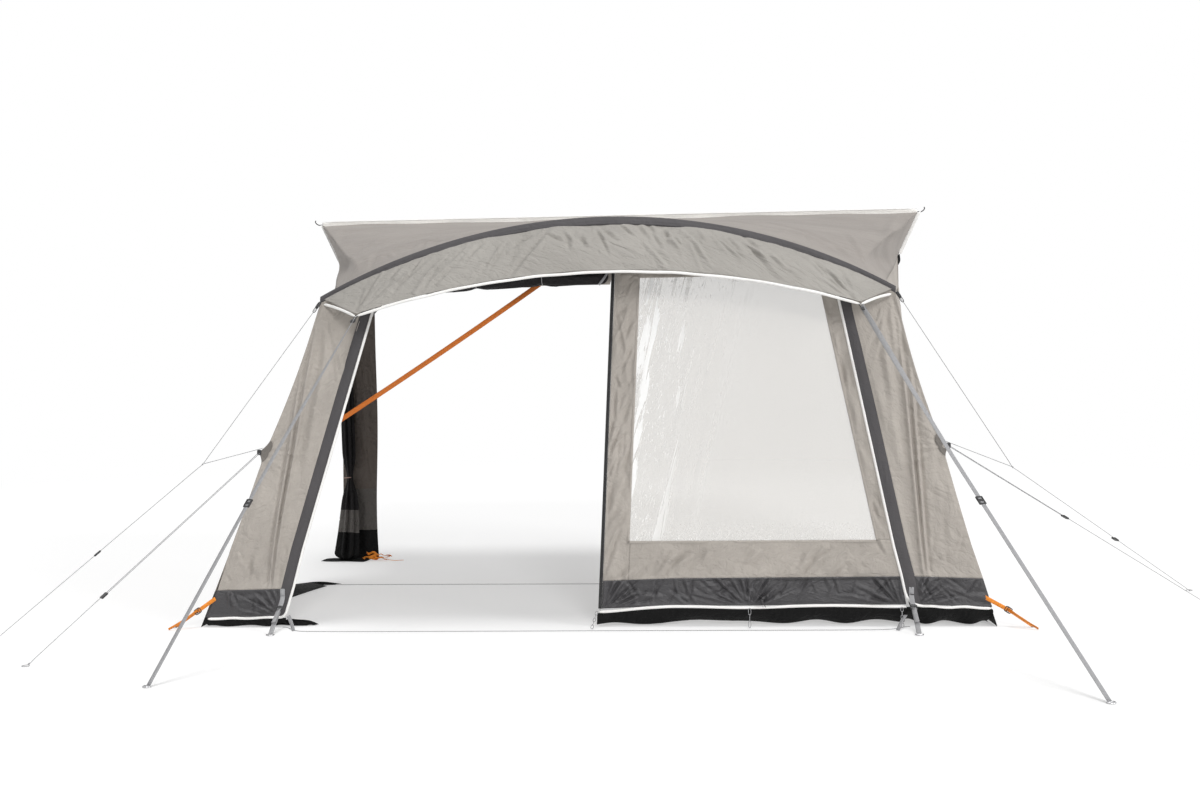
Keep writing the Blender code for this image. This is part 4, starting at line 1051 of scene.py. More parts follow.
def build_visor_piping(front):
    """White welt down each side edge of the visor and along its lower edge."""
    hip_x = front.hip_half - HIP_INSET
    parts = []
    for _, side in SIDES:
        hip = front.place(side * hip_x, front.under(hip_x) - 2 * VISOR_DROP, 0.012)
        down = np.linspace(0.0, 1.0, 24)[:, None]
        path = mix(hip, front.visor_tip(side), down)
        path[:, 2] += 0.006 * np.sin(np.pi * down[:, 0])
        parts.append(tube_part(path, VISOR_PIPING * rounded_ends(24, 3), 12, (side, 0.0, 0.0)))
    x = np.linspace(-TIP_HALF, TIP_HALF, 180)
    below = VISOR_DROP * (1 + np.abs(x / TIP_HALF) ** 8 / 2) - 0.0015 * np.sin(x * 23) * np.sin(x * 5)
    parts.append(tube_part(front.visor_edge(x, below), VISOR_PIPING * rounded_ends(180, 4), 12, FRONTWARD))
    add_piece("visor_welt", parts, ["piping"], ["visor_piping"])


# Header and rolled door


def build_header(front):
    """The flat panel behind the visor."""
    rng = np.random.default_rng(31)
    u, v = grid(150, 14)
    top_x = front.leg_at_arch(-front.trim_in)
    x = mix(-top_x, top_x, u)
    low = np.where(x < PANEL_LEFT - SEAM, ROLL_BACK, HINGE_HEIGHT + SEAM)
    z = mix(low, front.under(x), v)
    edge = front.leg(z) - front.trim_in
    base = front.place(np.clip(x, -edge, edge), z)
    relief = billow(x, z, rng, 0.3, 0.002) * border(u, v, (0.02, 0.2))
    add_cloth("header", base, relief, ["awning cloth"], ["front_header"])


def roll_line(front, s):
    """The rolled door's axis: level, and lower by a parabola towards its left end."""
    return front.place(mix(ROLL_LEFT, PANEL_LEFT - 0.012, s), ROLL_HEIGHT - ROLL_DROP * (1 - s) ** 2, ROLL_OUT)


def build_door_roll(front):
    """The rolled front door: an uneven round, flattened by its weight, drawn in at its ties."""
    rng = np.random.default_rng(32)
    steps, sides = 200, 56
    s = np.linspace(0.0, 1.0, steps)
    angle, run = rings(sides, s)
    pinch = 1 - 0.24 * np.cos(math.pi * 3 * run) ** 24
    radius = 0.0425 * pinch
    radius = radius * (1 - 0.035 * np.cos(2 * angle)) + 0.0016 * np.sin(7 * angle + 9 * run + 2 * np.sin(run * 12))
    area = ((0.0, 0.0), (1.0, 0.31))
    radius += creases(run, angle * 0.05, rng, 60, area, 0.0, 0.35, (0.05, 0.22), (0.004, 0.010), (0.001, 0.003))
    radius *= rounded_ends(steps, 5)[:, None]
    part = tube_part(roll_line(front, s), radius, sides)
    add_piece("door_roll", [part], ["rolled door cloth"], ["front_door_roll"])
    ties = [loop_part(roll_line(front, at), FRONTWARD, UPWARD, 0.034, 0.034, 0.0022, 1.0) for at in (0.335, 0.668)]
    add_piece("roll_ties", ties, ["grey webbing"])
    top = front.place(PANEL_LEFT - 0.010, 1.800, 0.080)
    foot = front.place(PANEL_LEFT - 0.055, 1.728, 0.086)
    path = smooth_path([top, mix(top, foot, 0.5) + np.array((0.004, -0.006, 0.0)), foot], 10)
    add_piece("roll_end_tie", [ribbon_part(path, (1.0, 0.0, 0.35), 0.012, 0.0012)], ["grey webbing"])


# Wings


def build_wing(front, name, side):
    """Ruled from the leg line to the outer edge, its top row on the arch, with a dark sheet on the tab's point that
    paints the shade there.
    """
    rng = side_rng(41, side)
    u, v = grid(84, 190)
    top_x = mix(front.leg_at_arch(front.wing_in), front.hip_half, u)
    z = mix(MUD_TOP, front.under(top_x), v)
    x = mix(front.leg(z) + front.wing_in, front.outer(z), u)
    x = mix(x, top_x, v ** (10 + 90 * u ** 3))
    relief = crease(x, z, (1.465, 1.60), (1.716, -0.20), 0.010, 0.020)
    relief += crease(x, z, (1.539, 1.35), (1.731, -0.20), 0.009, 0.018)
    relief += crease(x, z, (1.38, 1.62), (1.52, 0.75), 0.022, 0.012)
    relief += fan(x, z, rng, 7, (1.765, 0.905), (math.pi * 0.80, math.pi * 1.22), (0.12, 0.30), 0.012, 0.004)
    relief += fan(x, z, rng, 6, (1.42, 1.66), (-math.pi * 0.62, -math.pi * 0.30), (0.2, 0.6), 0.014, 0.007)
    relief += creases(x, z, rng, 14, ((1.3, 0.5), (1.8, 1.5)), -1.35, 0.15, (0.25, 0.7), (0.014, 0.026), (0.002, 0.005))
    area = ((1.45, 0.23), (2.0, 0.34))
    relief += creases(x, z, rng, 14, area, 1.4, 0.4, (0.05, 0.14), (0.008, 0.014), (0.002, 0.006))
    relief += billow(x, z, rng, 0.55, 0.009)
    relief *= border(u, v, (0.10, 0.03))
    add_cloth(f"{name}_wing", front.place(side * x, z), relief, ["awning cloth"], [f"{name}_wing_wall"])

    # Painted shade: a sheet of darkened cloth on the tab's point.
    reach = 0.055
    t, w = grid(16, 16)
    painted_shade_z = mix(TAB_HEIGHT - 0.052, TAB_HEIGHT + 0.060, w)
    painted_shade_x = front.outer(painted_shade_z) - reach * t * (1 - np.abs(2 * w - 1)) ** 0.7 - 0.001
    base = front.place(side * painted_shade_x, painted_shade_z, 0.0022)
    add_cloth(f"{name}_tab_patch", base, np.zeros_like(t), ["tab cloth"], ())


def build_leg_trim(front, name, side):
    """A strip of even width beside the leg line, domed by a sine across it, its top row on the arch."""
    rng = side_rng(43, side)
    u, v = grid(12, 200)
    top_x = mix(front.leg_at_arch(front.trim_in), front.leg_at_arch(front.wing_in), u)
    z = mix(HEM_TOP, front.under(top_x), v)
    x = mix(front.leg(z) + front.trim_in + LEG_TRIM * u, top_x, v ** 20)
    relief = 0.003 * np.sin(np.pi * u) + billow(x, z, rng, 0.22, 0.0016)
    area = ((1.4, 0.10), (1.62, 0.7))
    relief += creases(x, z, rng, 10, area, 1.75, 0.2, (0.06, 0.20), (0.005, 0.010), (0.001, 0.003))
    relief *= border(u, v, (0.2, 0.01))
    base = front.place(side * x, z)
    add_cloth(f"{name}_trim", base, relief, ["arch trim"], [f"{name}_leg_trim"])


def build_leg_piping(front, name, side):
    """White welt down the leg line, round an easy bend and along the hem to the outer edge."""
    top = front.under(front.leg_at_arch(front.piping_side) + PIPING) - PIPING
    bend = 0.075 if side > 0 else 0.030
    z = np.linspace(top, HEM_HEIGHT + bend, 120)
    down = np.stack([front.leg(z), z], -1)
    corner = np.array((front.leg(HEM_HEIGHT), HEM_HEIGHT))
    t = np.linspace(0.0, 1.0, 16)[1:, None]
    turn = (1 - t) ** 2 * down[-1] + 2 * t * (1 - t) * corner + t ** 2 * (corner + np.array((bend, 0.0)))
    x = np.linspace(turn[-1, 0], float(front.outer(HEM_TOP)) - 0.004, 60)[1:]
    along = np.stack([x, HEM_HEIGHT + 0.0030 * np.sin((x - turn[-1, 0]) * 9.0) * np.sin(x * 31)], -1)
    line = np.concatenate([down, turn, along])
    path = front.place(side * line[:, 0], line[:, 1], 0.0012)
    part = tube_part(path, PIPING * 1.15 * rounded_ends(len(path), 3), 12, FRONTWARD)
    add_piece(f"{name}_leg_welt", [part], ["piping"], [f"{name}_leg_piping"])


def crumpled_band(x, z, rng, low, high, tips, count):
    """Relief of a mud band: scattered slanted creases and fans that rise from the peg points."""
    relief = np.zeros_like(x)
    for heading in (1.05, 2.05):
        area = ((low, HEM_HEIGHT), (high, 0.17))
        relief += creases(x, z, rng, count, area, heading, 0.25, (0.08, 0.22), (0.006, 0.010), (0.004, 0.010))
    area = ((low, HEM_HEIGHT), (high, 0.2))
    relief += creases(x, z, rng, count, area, 0.1, 0.25, (0.06, 0.2), (0.006, 0.012), (0.004, 0.009))
    for tip in tips:
        relief += fan(x, z, rng, 12, (tip, HEM_HEIGHT - 0.01), (0.30, math.pi - 0.30), (0.16, 0.34), 0.007, 0.018)
    return relief + billow(x, z, rng, 0.25, 0.004)


def build_wing_foot(front, name, side):
    """The mud band above the hem and the black flap below it, whose edge tucks under in waves."""
    rng = side_rng(45, side)
    u, v = grid(110, 28)
    z = mix(HEM_TOP, MUD_TOP - SEAM, v)
    x = mix(front.leg(z) + front.wing_in, front.outer(z), u)
    relief = crumpled_band(x, z, rng, 1.62, 2.0, [1.60], 4) * border(u, v, (0.06, 0.15))
    base = front.place(side * x, z)
    add_cloth(f"{name}_mud_cloth", base, relief, ["mud band cloth"], [f"{name}_mud_band"])

    u, v = grid(110, 16)
    lift = 0.004 + 0.010 * (0.5 + 0.5 * np.sin(u * 17 + 1.3 * np.sin(u * 5))) * (1 - u * 0.4)
    z = mix(HEM_HEIGHT - PIPING * 0.8, FLOOR_GAP + lift, v)
    x = mix(float(front.leg(HEM_HEIGHT)) - PIPING, front.outer(z) - 0.030 * v ** 2, u)
    base = front.place(side * x, z)
    reach = 0.030 if side < 0 else 0.110
    base[..., 1] += reach * v ** 2 * (0.6 + 0.4 * np.sin(u * 13 + 0.7))
    relief = creases(x, z, rng, 22, ((1.6, 0.0), (2.0, 0.06)), 1.3, 0.5, (0.03, 0.09), (0.005, 0.010), (0.001, 0.004))
    relief += 0.004 * np.sin(x * 31) * v
    relief *= border(u, v / 2, (0.03, 0.10))
    stands_for, rests_on = [f"{name}_mudflap"], [f"{name}_mud_cloth"]
    add_cloth(f"{name}_flap", base, relief, ["black flap cloth"], stands_for)


def floor_flap(name, edge_from, edge_to, point_from, point_to, seed):
    """A loose flap on the floor: ruled between two edges, thrown up in low waves that die out at its free edge."""
    u, v = grid(40, 24)
    near = mix(np.array(edge_from), np.array(edge_to), u[..., None])
    far = mix(np.array(point_from), np.array(point_to), u[..., None])
    phase = np.random.default_rng(seed).uniform(0, 6)
    wave = 0.016 * (0.5 + 0.5 * np.sin(u * 9 + v * 3 + phase)) * np.sin(np.pi * np.clip(v * 0.9 + 0.05, 0, 1))
    base = mix(near, far, v[..., None])
    add_cloth(name, base, wave + 0.001, ["black flap cloth"], (), towards=UPWARD)


def build_floor_flaps():
    """Loose ends of the mud flaps that lie on the floor inside the open bay and behind the right foot."""
    z = FLOOR_GAP + 0.001
    floor_flap("left_foot_flap", (-1.66, FRONT_Y + 0.02, z), (-1.60, FRONT_Y + 0.07, z + 0.030),
               (-1.50, FRONT_Y + 0.030, z), (-1.44, FRONT_Y + 0.050, z), 61)
    floor_flap("left_wall_flap", (-2.000, -0.75, z), (-1.985, 0.16, z), (-1.960, -0.75, z), (-1.750, 0.13, z), 62)
    floor_flap("left_jamb_flap", (-1.985, 0.12, z), (-1.978, 0.20, z), (-1.80, 0.15, z), (-1.68, 0.205, z), 63)
    floor_flap("left_return_flap", (-2.00, 1.29, z), (-1.74, 1.29, z), (-2.10, 1.20, z), (-1.79, 1.17, z), 64)
    floor_flap("right_wall_flap", (1.985, -1.05, z), (1.975, 1.25, z), (1.90, -0.95, z), (1.88, 1.20, z), 65)


# Front panel


def panel_columns(front, z):
    """x of each column of the front panel: left strip, window and right strip, which leans with the leg."""
    window_right = front.leg(z) - WINDOW_MARGIN
    left = mix(ZIP_RIGHT + SEAM, WINDOW_LEFT, np.linspace(0.0, 1.0, 25)[None, :]) + 0 * z
    window = mix(WINDOW_LEFT, window_right, np.linspace(0.0, 1.0, 121)[None, 1:])
    outer = front.leg(z) - front.piping_side - SEAM
    right = mix(window_right, outer, np.linspace(0.0, 1.0, 17)[None, 1:])
    return np.concatenate([left, window, right], axis=1)


def build_front_panel(front):
    """The front right panel: a frame of cloth round the window, cut in four strips, and the creased film."""
    rng = np.random.default_rng(51)
    heights = np.concatenate([
        np.linspace(MUD_TOP, WINDOW_LOW, 33), np.linspace(WINDOW_LOW, WINDOW_TOP, 181)[1:],
        np.linspace(WINDOW_TOP, HINGE_HEIGHT - SEAM, 7)[1:],
    ])[:, None]
    x = panel_columns(front, heights)
    z = heights + 0 * x
    scattered = (
        (50, ((0.06, 0.5), (0.17, 1.75)), -1.9, 0.35, (0.06, 0.24), (0.006, 0.014), (0.004, 0.011)),
        (36, ((0.10, 0.26), (1.4, 0.42)), -2.15, 0.22, (0.07, 0.22), (0.008, 0.016), (0.005, 0.013)),
        (16, ((1.20, 0.4), (1.48, 1.0)), -1.0, 0.3, (0.08, 0.25), (0.007, 0.014), (0.004, 0.010)),
        (10, ((1.10, 1.0), (1.25, 1.7)), -1.3, 0.15, (0.15, 0.4), (0.008, 0.014), (0.002, 0.006)),
    )
    relief = sum(creases(x, z, rng, *row) for row in scattered) + billow(x, z, rng, 0.3, 0.006)
    outer = front.leg(z) - front.piping_side
    fade = 0.02
    near = np.minimum.reduce([x - ZIP_RIGHT, outer - x, z - MUD_TOP, HINGE_HEIGHT - z]) / fade
    beside = x - front.leg(z) + WINDOW_MARGIN
    window = np.maximum.reduce([WINDOW_LEFT - x, beside, WINDOW_LOW - z, z - WINDOW_TOP]) / fade
    relief *= np.clip(near, 0.0, 1.0) * np.clip(window, 0.12, 1.0)
    base = front.place(x, z)
    strips = {
        "front_panel_cloth": (slice(None), slice(0, 25)), "front_panel_low_strip": (slice(0, 33), slice(24, None)),
        "front_panel_top_strip": (slice(212, None), slice(24, None)),
        "front_panel_leg_strip": (slice(32, 213), slice(144, None)),
    }
    for name, (rows, columns) in strips.items():
        stands_for = ["front_right_panel"] if name == "front_panel_cloth" else ()
        add_cloth(name, base[rows, columns], relief[rows, columns], ["awning cloth"], stands_for,
                  "front_panel")

    u, v = grid(150, 200)
    lap = 0.012
    z = mix(WINDOW_LOW - lap, WINDOW_TOP + lap, v)
    x = mix(WINDOW_LEFT - lap, front.leg(z) - WINDOW_MARGIN + lap, u)
    relief = creases(x, z, rng, 26, ((0.2, 0.9), (0.55, 1.76)), -1.75, 0.10, (0.3, 0.9), (0.008, 0.020), (0.001, 0.003))
    relief += billow(x, z, rng, 0.4, 0.002)
    relief = relief * border(u, v, (0.03, 0.03)) - 0.0022
    add_cloth("window_sheet", front.place(x, z), relief, ["window film"], ["window_film"],
              "front_panel", thickness=FILM)


def build_window_seam(front):
    """The welded edge of the film, a narrow grey strip just below and beside the window."""
    low, top = WINDOW_LOW - WINDOW_WELD, WINDOW_TOP + WINDOW_WELD
    left = WINDOW_LEFT - WINDOW_WELD
    low_right, top_right = (front.leg(z) - WINDOW_MARGIN + WINDOW_WELD for z in (low, top))
    corners = [(left, top), (left, low), (low_right, low), (top_right, top)]
    parts = []
    for start, end in zip(corners, corners[1:]):
        line = mix(np.array(start), np.array(end), np.linspace(0.0, 1.0, 120)[:, None])
        path = front.place(line[:, 0], line[:, 1], 0.0020)
        parts.append(ribbon_part(path, np.cross(unit(path[-1] - path[0]), FRONTWARD), 0.010, 0.0008))
    add_piece("window_seam", parts, ["awning cloth"], body="front_panel")


def build_panel_foot(front):
    """The panel's mud band, the flap below it, kicked back by a square of its depth, and the welt between them."""
    rng = np.random.default_rng(52)
    u, v = grid(300, 30)
    z = mix(HEM_TOP, MUD_TOP - SEAM, v)
    x = mix(ZIP_RIGHT + SEAM, front.leg(z) - front.piping_side - SEAM, u)
    relief = crumpled_band(x, z, rng, 0.08, 1.5, [0.80, 0.06, 1.56], 17) * border(u, v, (0.02, 0.15))
    add_cloth("panel_mud_cloth", front.place(x, z), relief, ["mud band cloth"], ["panel_mud_band"],
              body="front_panel")

    u, v = grid(300, 16)
    end = float(front.leg(HEM_HEIGHT)) - PIPING - 2 * SEAM
    top = HEM_HEIGHT - PIPING * 0.8 + hem_wave(mix(PANEL_LEFT, end, u))
    lift = 0.006 + 0.012 * (0.5 + 0.5 * np.sin(u * 21 + 1.7 * np.sin(u * 8)))
    z = mix(top, lift, v)
    x = mix(PANEL_LEFT - 0.004, end, u)
    base = front.place(x, z)
    base[..., 1] += v ** 2 * (0.055 * np.clip(u * 3, 0.0, 1.0) + 0.022 * np.sin(u * 15) ** 2) - 0.004 * v
    relief = creases(x, z, rng, 46, ((0.05, 0.0), (1.5, 0.06)), 1.2, 0.6, (0.03, 0.10), (0.006, 0.012), (0.001, 0.004))
    relief += 0.004 * np.sin(x * 17) * v
    relief *= border(u, v / 2, (0.01, 0.10))
    add_cloth("panel_flap", base, relief, ["black flap cloth"], ["panel_mudflap"],
              "front_panel")

    x = np.linspace(PANEL_LEFT, end, 160)
    path = front.place(x, HEM_HEIGHT + hem_wave(x), 0.0012)
    welt = tube_part(path, PIPING * 1.25 * rounded_ends(160, 3), 12, FRONTWARD)
    add_piece("panel_welt", [welt], ["piping"], ["panel_piping"], "front_panel")


def build_zip(front):
    """Zip tape with its teeth down the middle, a square coil of one turn in four steps, and the slider's finish."""
    middle = PANEL_LEFT + ZIP_WIDTH / 2
    z = np.linspace(HEM_TOP, HINGE_HEIGHT - SEAM, 160)
    tape = ribbon_part(front.place(np.full(160, middle), z), (1.0, 0.0, 0.05), ZIP_WIDTH - SEAM, CLOTH)
    count = 1500
    z = np.linspace(HEM_TOP, HINGE_HEIGHT - SEAM, count)
    turn = np.arange(count) * math.pi / 2
    coil = [front.x(middle + 0.0022 * np.cos(turn), z), FRONT_Y - 0.0016 - 0.0008 * np.sin(turn), z]
    add_piece("zip_tape", [tape], ["zip tape"], ["front_zip"], "front_panel")
    coil = tube_part(np.stack(coil, -1), 0.0007, 5, FRONTWARD)
    add_piece("zip_coil", [coil], ["black plastic"], body="front_panel")
    refinish("zip_slider", "black plastic")


# Sides and rear


def shades_below(heights, upper, lower):
    """0 above both heights, 1 between them and 2 below both."""
    return (heights < upper).astype(int) + (heights < lower)


def wall_base(front, side, height_share, depth_share):
    """A side wall, ruled between the wing's outer edge and the rear upright, with level rows near the floor."""
    level = height_share * (front.hip_height - 0.006)
    front_z = level + (HEM_LIFTS[0] if side < 0 else HEM_LIFTS[-1]) * hem_share(level)
    front_z = np.maximum(front_z, FLOOR_GAP)
    rise = eased(np.clip((height_share - 0.14) / 0.5, 0.0, 1.0)) * height_share
    rise = rise * (front.notch_height - front.hip_height)
    rear_z = np.maximum(level + rise, FLOOR_GAP)
    edge = front.scalloped(front_z) - CLOTH
    fore = np.stack([front.x(side * edge, front_z), np.full_like(front_z, FRONT_Y + 0.003), front_z], -1)
    rear_x = side * (mix(REAR_FOOT_HALF, front.notch_half, height_share) - CLOTH)
    rear = np.stack([rear_x, np.full_like(front_z, REAR_Y), rear_z], -1)
    wall = mix(fore, rear, depth_share[..., None])
    wall[..., 0] -= side * side_bow(depth_share) * height_share ** 6
    return wall


def wall_shades(front, height_share):
    """Which cloth each face of a side wall has: awning cloth, mud band or flap, by its row."""
    return shades_below(face_middles(height_share) * front.hip_height, MUD_TOP, HEM_HEIGHT)


def build_side_wall(front, name, side):
    """The side wall: full height up to the door's jamb and a lintel above the door, with its mud band."""
    rng = side_rng(71, side)
    heights = np.concatenate([np.linspace(0, LINTEL_SHARE, 133), np.linspace(LINTEL_SHARE, 1, 13)[1:]])
    depths = np.concatenate([np.linspace(0, JAMB_SHARE, 91), np.linspace(JAMB_SHARE, WALL_END_SHARE, 77)[1:]])
    u, v = np.meshgrid(depths, heights)
    base = wall_base(front, side, v, u)
    keep = (v[:-1, :-1] > LINTEL_SHARE - 1e-6) | (u[:-1, :-1] < JAMB_SHARE - 1e-6)
    y, z = base[..., 1], base[..., 2]
    relief = creases(y, z, rng, 26, ((-1.1, 0.3), (1.2, 1.9)), 1.5, 0.25, (0.3, 0.9), (0.015, 0.030), (0.002, 0.007))
    relief += creases(y, z, rng, 40, ((-1.1, 0.02), (1.2, 0.2)), 1.3, 0.5, (0.05, 0.16), (0.007, 0.014), (0.001, 0.004))
    relief += billow(y, z, rng, 0.7, 0.008)
    relief = (0.6 * relief - 0.004) * border(u, v, (0.24, 0.04)) * np.clip(np.abs(u - JAMB_SHARE) * 20, 0, 1)
    add_cloth(f"{name}_wall", base, relief, WALL_CLOTHS, [f"{name}_side_wall"],
              towards=side * RIGHTWARD, keep=keep, shade=wall_shades(front, v))


def build_side_door(front):
    """The closed right side door: the part of the wall behind the jamb and below the lintel, with its mud band."""
    rng = np.random.default_rng(73)
    heights = np.linspace(0.0, LINTEL_SHARE - 0.0004, 133)[2:]
    u, v = np.meshgrid(np.linspace(JAMB_SHARE + 0.0006, WALL_END_SHARE, 77), heights)
    base = wall_base(front, 1.0, v, u)
    y, z = base[..., 1], base[..., 2]
    relief = creases(y, z, rng, 22, ((0.25, 0.3), (1.3, 1.8)), 1.5, 0.3, (0.2, 0.7), (0.012, 0.026), (0.002, 0.006))
    relief += billow(y, z, rng, 0.5, 0.006)
    relief *= border(*grid(76, 130), (0.06, 0.04))
    add_cloth("right_door", base, relief, WALL_CLOTHS, ["right_side_door"], "side_door",
              towards=RIGHTWARD, shade=wall_shades(front, v))


def build_return(front, name, side):
    """The rear upright's strip of cloth, in long soft folds, with the grey patch above its black foot."""
    rng = side_rng(74, side)
    u, v = grid(44, 190)
    z = mix(FLOOR_GAP, front.notch_height - 0.020, v)
    edge = mix(REAR_FOOT_HALF, front.notch_half, z / front.notch_height)
    inner = RETURN_INNER + 0.012 * np.sin(v * 9.0) * (1 - v) + (0.10 if side > 0 else 0.0)
    x = mix(inner, edge, u)
    base = np.stack([side * x, np.full_like(x, REAR_Y - 0.0013), z], -1)
    relief = creases(x, z, rng, 9, ((1.73, 0.2), (1.95, 1.2)), 1.52, 0.06, (0.4, 1.1), (0.010, 0.020), (0.003, 0.008))
    area = ((1.73, 0.2), (1.95, 0.55))
    relief += creases(x, z, rng, 30, area, 0.1, 0.3, (0.05, 0.16), (0.005, 0.010), (0.001, 0.004))
    relief = np.abs(relief) + 0.002 + 0.004 * np.sin(np.pi * u) * (1 + np.sin(x * 60 + z))
    relief *= border(u, v, (0.10, 0.02))
    add_cloth(f"{name}_return", base, relief, ["inner cloth", "mesh patch cloth", "black flap cloth"],
              [f"{name}_rear_return"], shade=shades_below(face_middles(z), 0.50, 0.21))


def build_pads():
    """Foam pads that press against the caravan: blocks with round edges, narrowed below the rail by a smoothstep."""
    for name, side in SIDES:
        low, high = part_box(f"{name}_wall_pad")
        centre = (low + high) / 2
        half = (high - low) / 2
        places, *others = block_part(tuple(centre), np.eye(3), tuple(half), 0.22, 60, 60)
        inward = mix(0.62, 1.0, eased(np.clip((places[:, 2] - 1.96) / 0.10, 0.0, 1.0)))
        places[:, 0] = mix(side * 1.840, places[:, 0], inward)
        pad = add_piece(f"{name}_pad", [(places, *others)], ["pad cover"], [f"{name}_wall_pad"])


def gather_x(s):
    """x of the gathered door's axis at shares of its height, less its foot's shift."""
    return -1.912 + 0.006 * np.sin(s * 7)


def build_gathered_door():
    """The left side door drawn back to the upright: long folds that turn a little, waisted at the tie."""
    rng = np.random.default_rng(76)
    steps, sides = 190, 120
    s = np.linspace(0.0, 1.0, steps)
    z = mix(GATHER_LOW, GATHER_TOP, s)
    low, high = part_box("left_side_door")
    foot = np.square(np.clip((0.32 - s) / 0.32, 0.0, 1.0))
    path = np.stack([gather_x(s) - 0.012 * foot, (low.y + high.y) / 2 - 0.075 * foot, z], -1)
    angle, run = rings(sides, s)
    waist = 0.50 * np.exp(-np.square((run - GATHER_TIE_SHARE) / 0.050))
    flare = 1.0 + 0.75 * np.clip((0.30 - run) / 0.3, 0, 1) - 0.10 * run
    folds = 0.26 * np.cos(7 * angle + 1.2 * np.sin(run * 3)) + 0.09 * np.cos(12 * angle + 5 * run + 1.0)
    radius = 0.0385 * flare * (1 - waist) * (1 + folds * (1 - waist))
    around, up = angle * 0.04, run * 1.87
    area = ((0.0, 0.0), (0.25, 0.55))
    radius += creases(around, up, rng, 40, area, 0.2, 0.5, (0.03, 0.1), (0.004, 0.008), (0.001, 0.002))
    radius *= rounded_ends(steps, 4)[:, None]
    shade = shades_below((z[:-1] + z[1:]) / 2, 0.36, 0.20)[:, None] + np.zeros((1, sides), int)
    part = grid_part(sweep(path, radius, sides, FRONTWARD), closed=True, caps=True, shade=shade)
    door = add_piece("gathered_door", [part], ["rolled door cloth", "mesh patch cloth", "black flap cloth"],
                     ["left_side_door"])
    centre = np.array((gather_x(GATHER_TIE_SHARE), path[0, 1], mix(GATHER_LOW, GATHER_TOP, GATHER_TIE_SHARE)))
    tie = loop_part(centre, (1.0, 0.0, 0.06), (0.0, 1.0, 0.0), 0.024, 0.024, 0.0022, 1.0)
    add_piece("gather_tie", [tie], ["tie cord"])


# Beam


def middle_y(node):
    return sum(corner.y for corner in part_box(node)) / 2


def build_beam(front):
    """The inflated sleeve: a round tube up one leg, over the arch and down the other, slightly seamed."""
    arch_radius = front.radius - 0.003 - 0.004 - BEAM_RADIUS
    centre = front.crown_height - front.radius
    leg = [(-(float(front.leg(z)) + BEAM_OFFSET), z) for z in np.linspace(0.022, BEAM_LEG_TOP, 4)]
    widest = math.asin(BEAM_ARCH_HALF / arch_radius)
    arch = [(arch_radius * math.sin(a), centre + arch_radius * math.cos(a)) for a in np.linspace(-widest, widest, 9)]
    route = leg + arch + [(-x, z) for x, z in leg[::-1]]
    beam_y = middle_y("front_beam")
    path = smooth_path([(front.x(x, z), beam_y, z) for x, z in route], 14)
    angle, run = rings(48, np.linspace(0, 1, len(path)))
    radius = BEAM_RADIUS * (1 - 0.02 * np.exp(-np.square((np.mod(angle + 1.6, math.tau) - math.pi) / 0.08)))
    radius = radius + 0.0008 * np.sin(run * 260) * np.sin(angle)
    radius *= rounded_ends(len(path), 3)[:, None]
    sleeve = add_piece("beam_sleeve", [tube_part(path, radius, 48, FRONTWARD)], ["beam sleeve"], ["front_beam"])
    for node in ("beam_valve", "valve_cap"):
        refinish(node, "black plastic")


# Webbing


def build_tension_band(front):
    """A flat band from the beam's leg to the crown, sagging by a sine."""
    s = np.linspace(0.0, 1.0, 60)
    x = mix(-1.404, -0.020, s)
    z = mix(1.020, 1.962, s) - 0.012 * np.sin(np.pi * s)
    path = np.stack([front.x(x, z), np.full(60, middle_y("left_tension_band")), z], -1)
    band = ribbon_part(path, unit(np.array((-0.56, 0.0, 0.83))), STRAP, 0.0012)
    add_piece("tension_band", [band], ["tension band"], ["left_tension_band"])


def route_place(point):
    x, out, z = point
    return Vector((x, FRONT_Y - out, z))


def level_across(ahead):
    return Vector((-ahead.y, ahead.x, 0.0)).normalized()


def ladder_buckle(name, place, across, along, width):
    """A moulded ladder buckle: an oblong frame with two bars across it."""
    across, along = np.asarray(across, float), np.asarray(along, float)
    parts = [loop_part(place, across, along, width * 0.62, 0.017, 0.0026, 0.45)]
    for shift in (-0.006, 0.006):
        bar = [place + across * a * width * 0.6 + along * shift for a in np.linspace(-1, 1, 8)]
        parts.append(tube_part(bar, 0.0021, 8, tuple(np.cross(across, along))))
    add_piece(name, parts, ["black plastic"])


def build_storm_strap(front, name, side):
    """A strap from the visor's tip to its ring on the ground, turned edge-on by its tie at the tip."""
    tip = Vector(front.visor_tip(side))
    ring = route_place(STORM_RINGS[name])
    ahead = (ring - tip).normalized()
    across = np.array(level_across(ahead))
    start = np.array(tip + ahead * (VISOR_PIPING + 0.0003))
    low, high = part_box(f"{name}_storm_buckle")
    end = np.array(ring - ahead * RING_REACH)
    centre = np.array((low + high) / 2)
    bend = centre + (centre - end) / np.linalg.norm(centre - end) * BUCKLE_RUN
    path = np.concatenate([np.linspace(start, bend, 40), np.linspace(bend, end, 51)[1:]])
    over = np.cross(np.array(ahead), across)
    twist = (1.35 if side > 0 else 0.55) * np.clip(1 - np.linspace(0.0, 1.0, 90) / 0.33, 0.0, 1.0) ** 1.3
    turned = np.cos(twist)[:, None] * across + np.sin(twist)[:, None] * over
    web = ribbon_part(path, turned, STRAP, WEB)
    strap = add_piece(f"{name}_storm_web", [web], ["grey webbing"], [f"{name}_storm_strap"])
    refinish(f"{name}_storm_buckle", "black plastic")
    refinish(f"{name}_storm_ring", "ring metal")

    loop = loop_part(np.array(tip + Vector((0.0, -0.004, -0.006))), across, np.array(ahead), 0.009, 0.013, 0.0022)
    axes = np.stack([across, np.array(ahead), np.cross(across, np.array(ahead))])
    toggle = block_part(np.array(tip + ahead * 0.030), axes, (0.016, 0.010, 0.0045), 0.5)
    add_piece(f"{name}_tip_toggle", [loop, toggle], ["black plastic"])


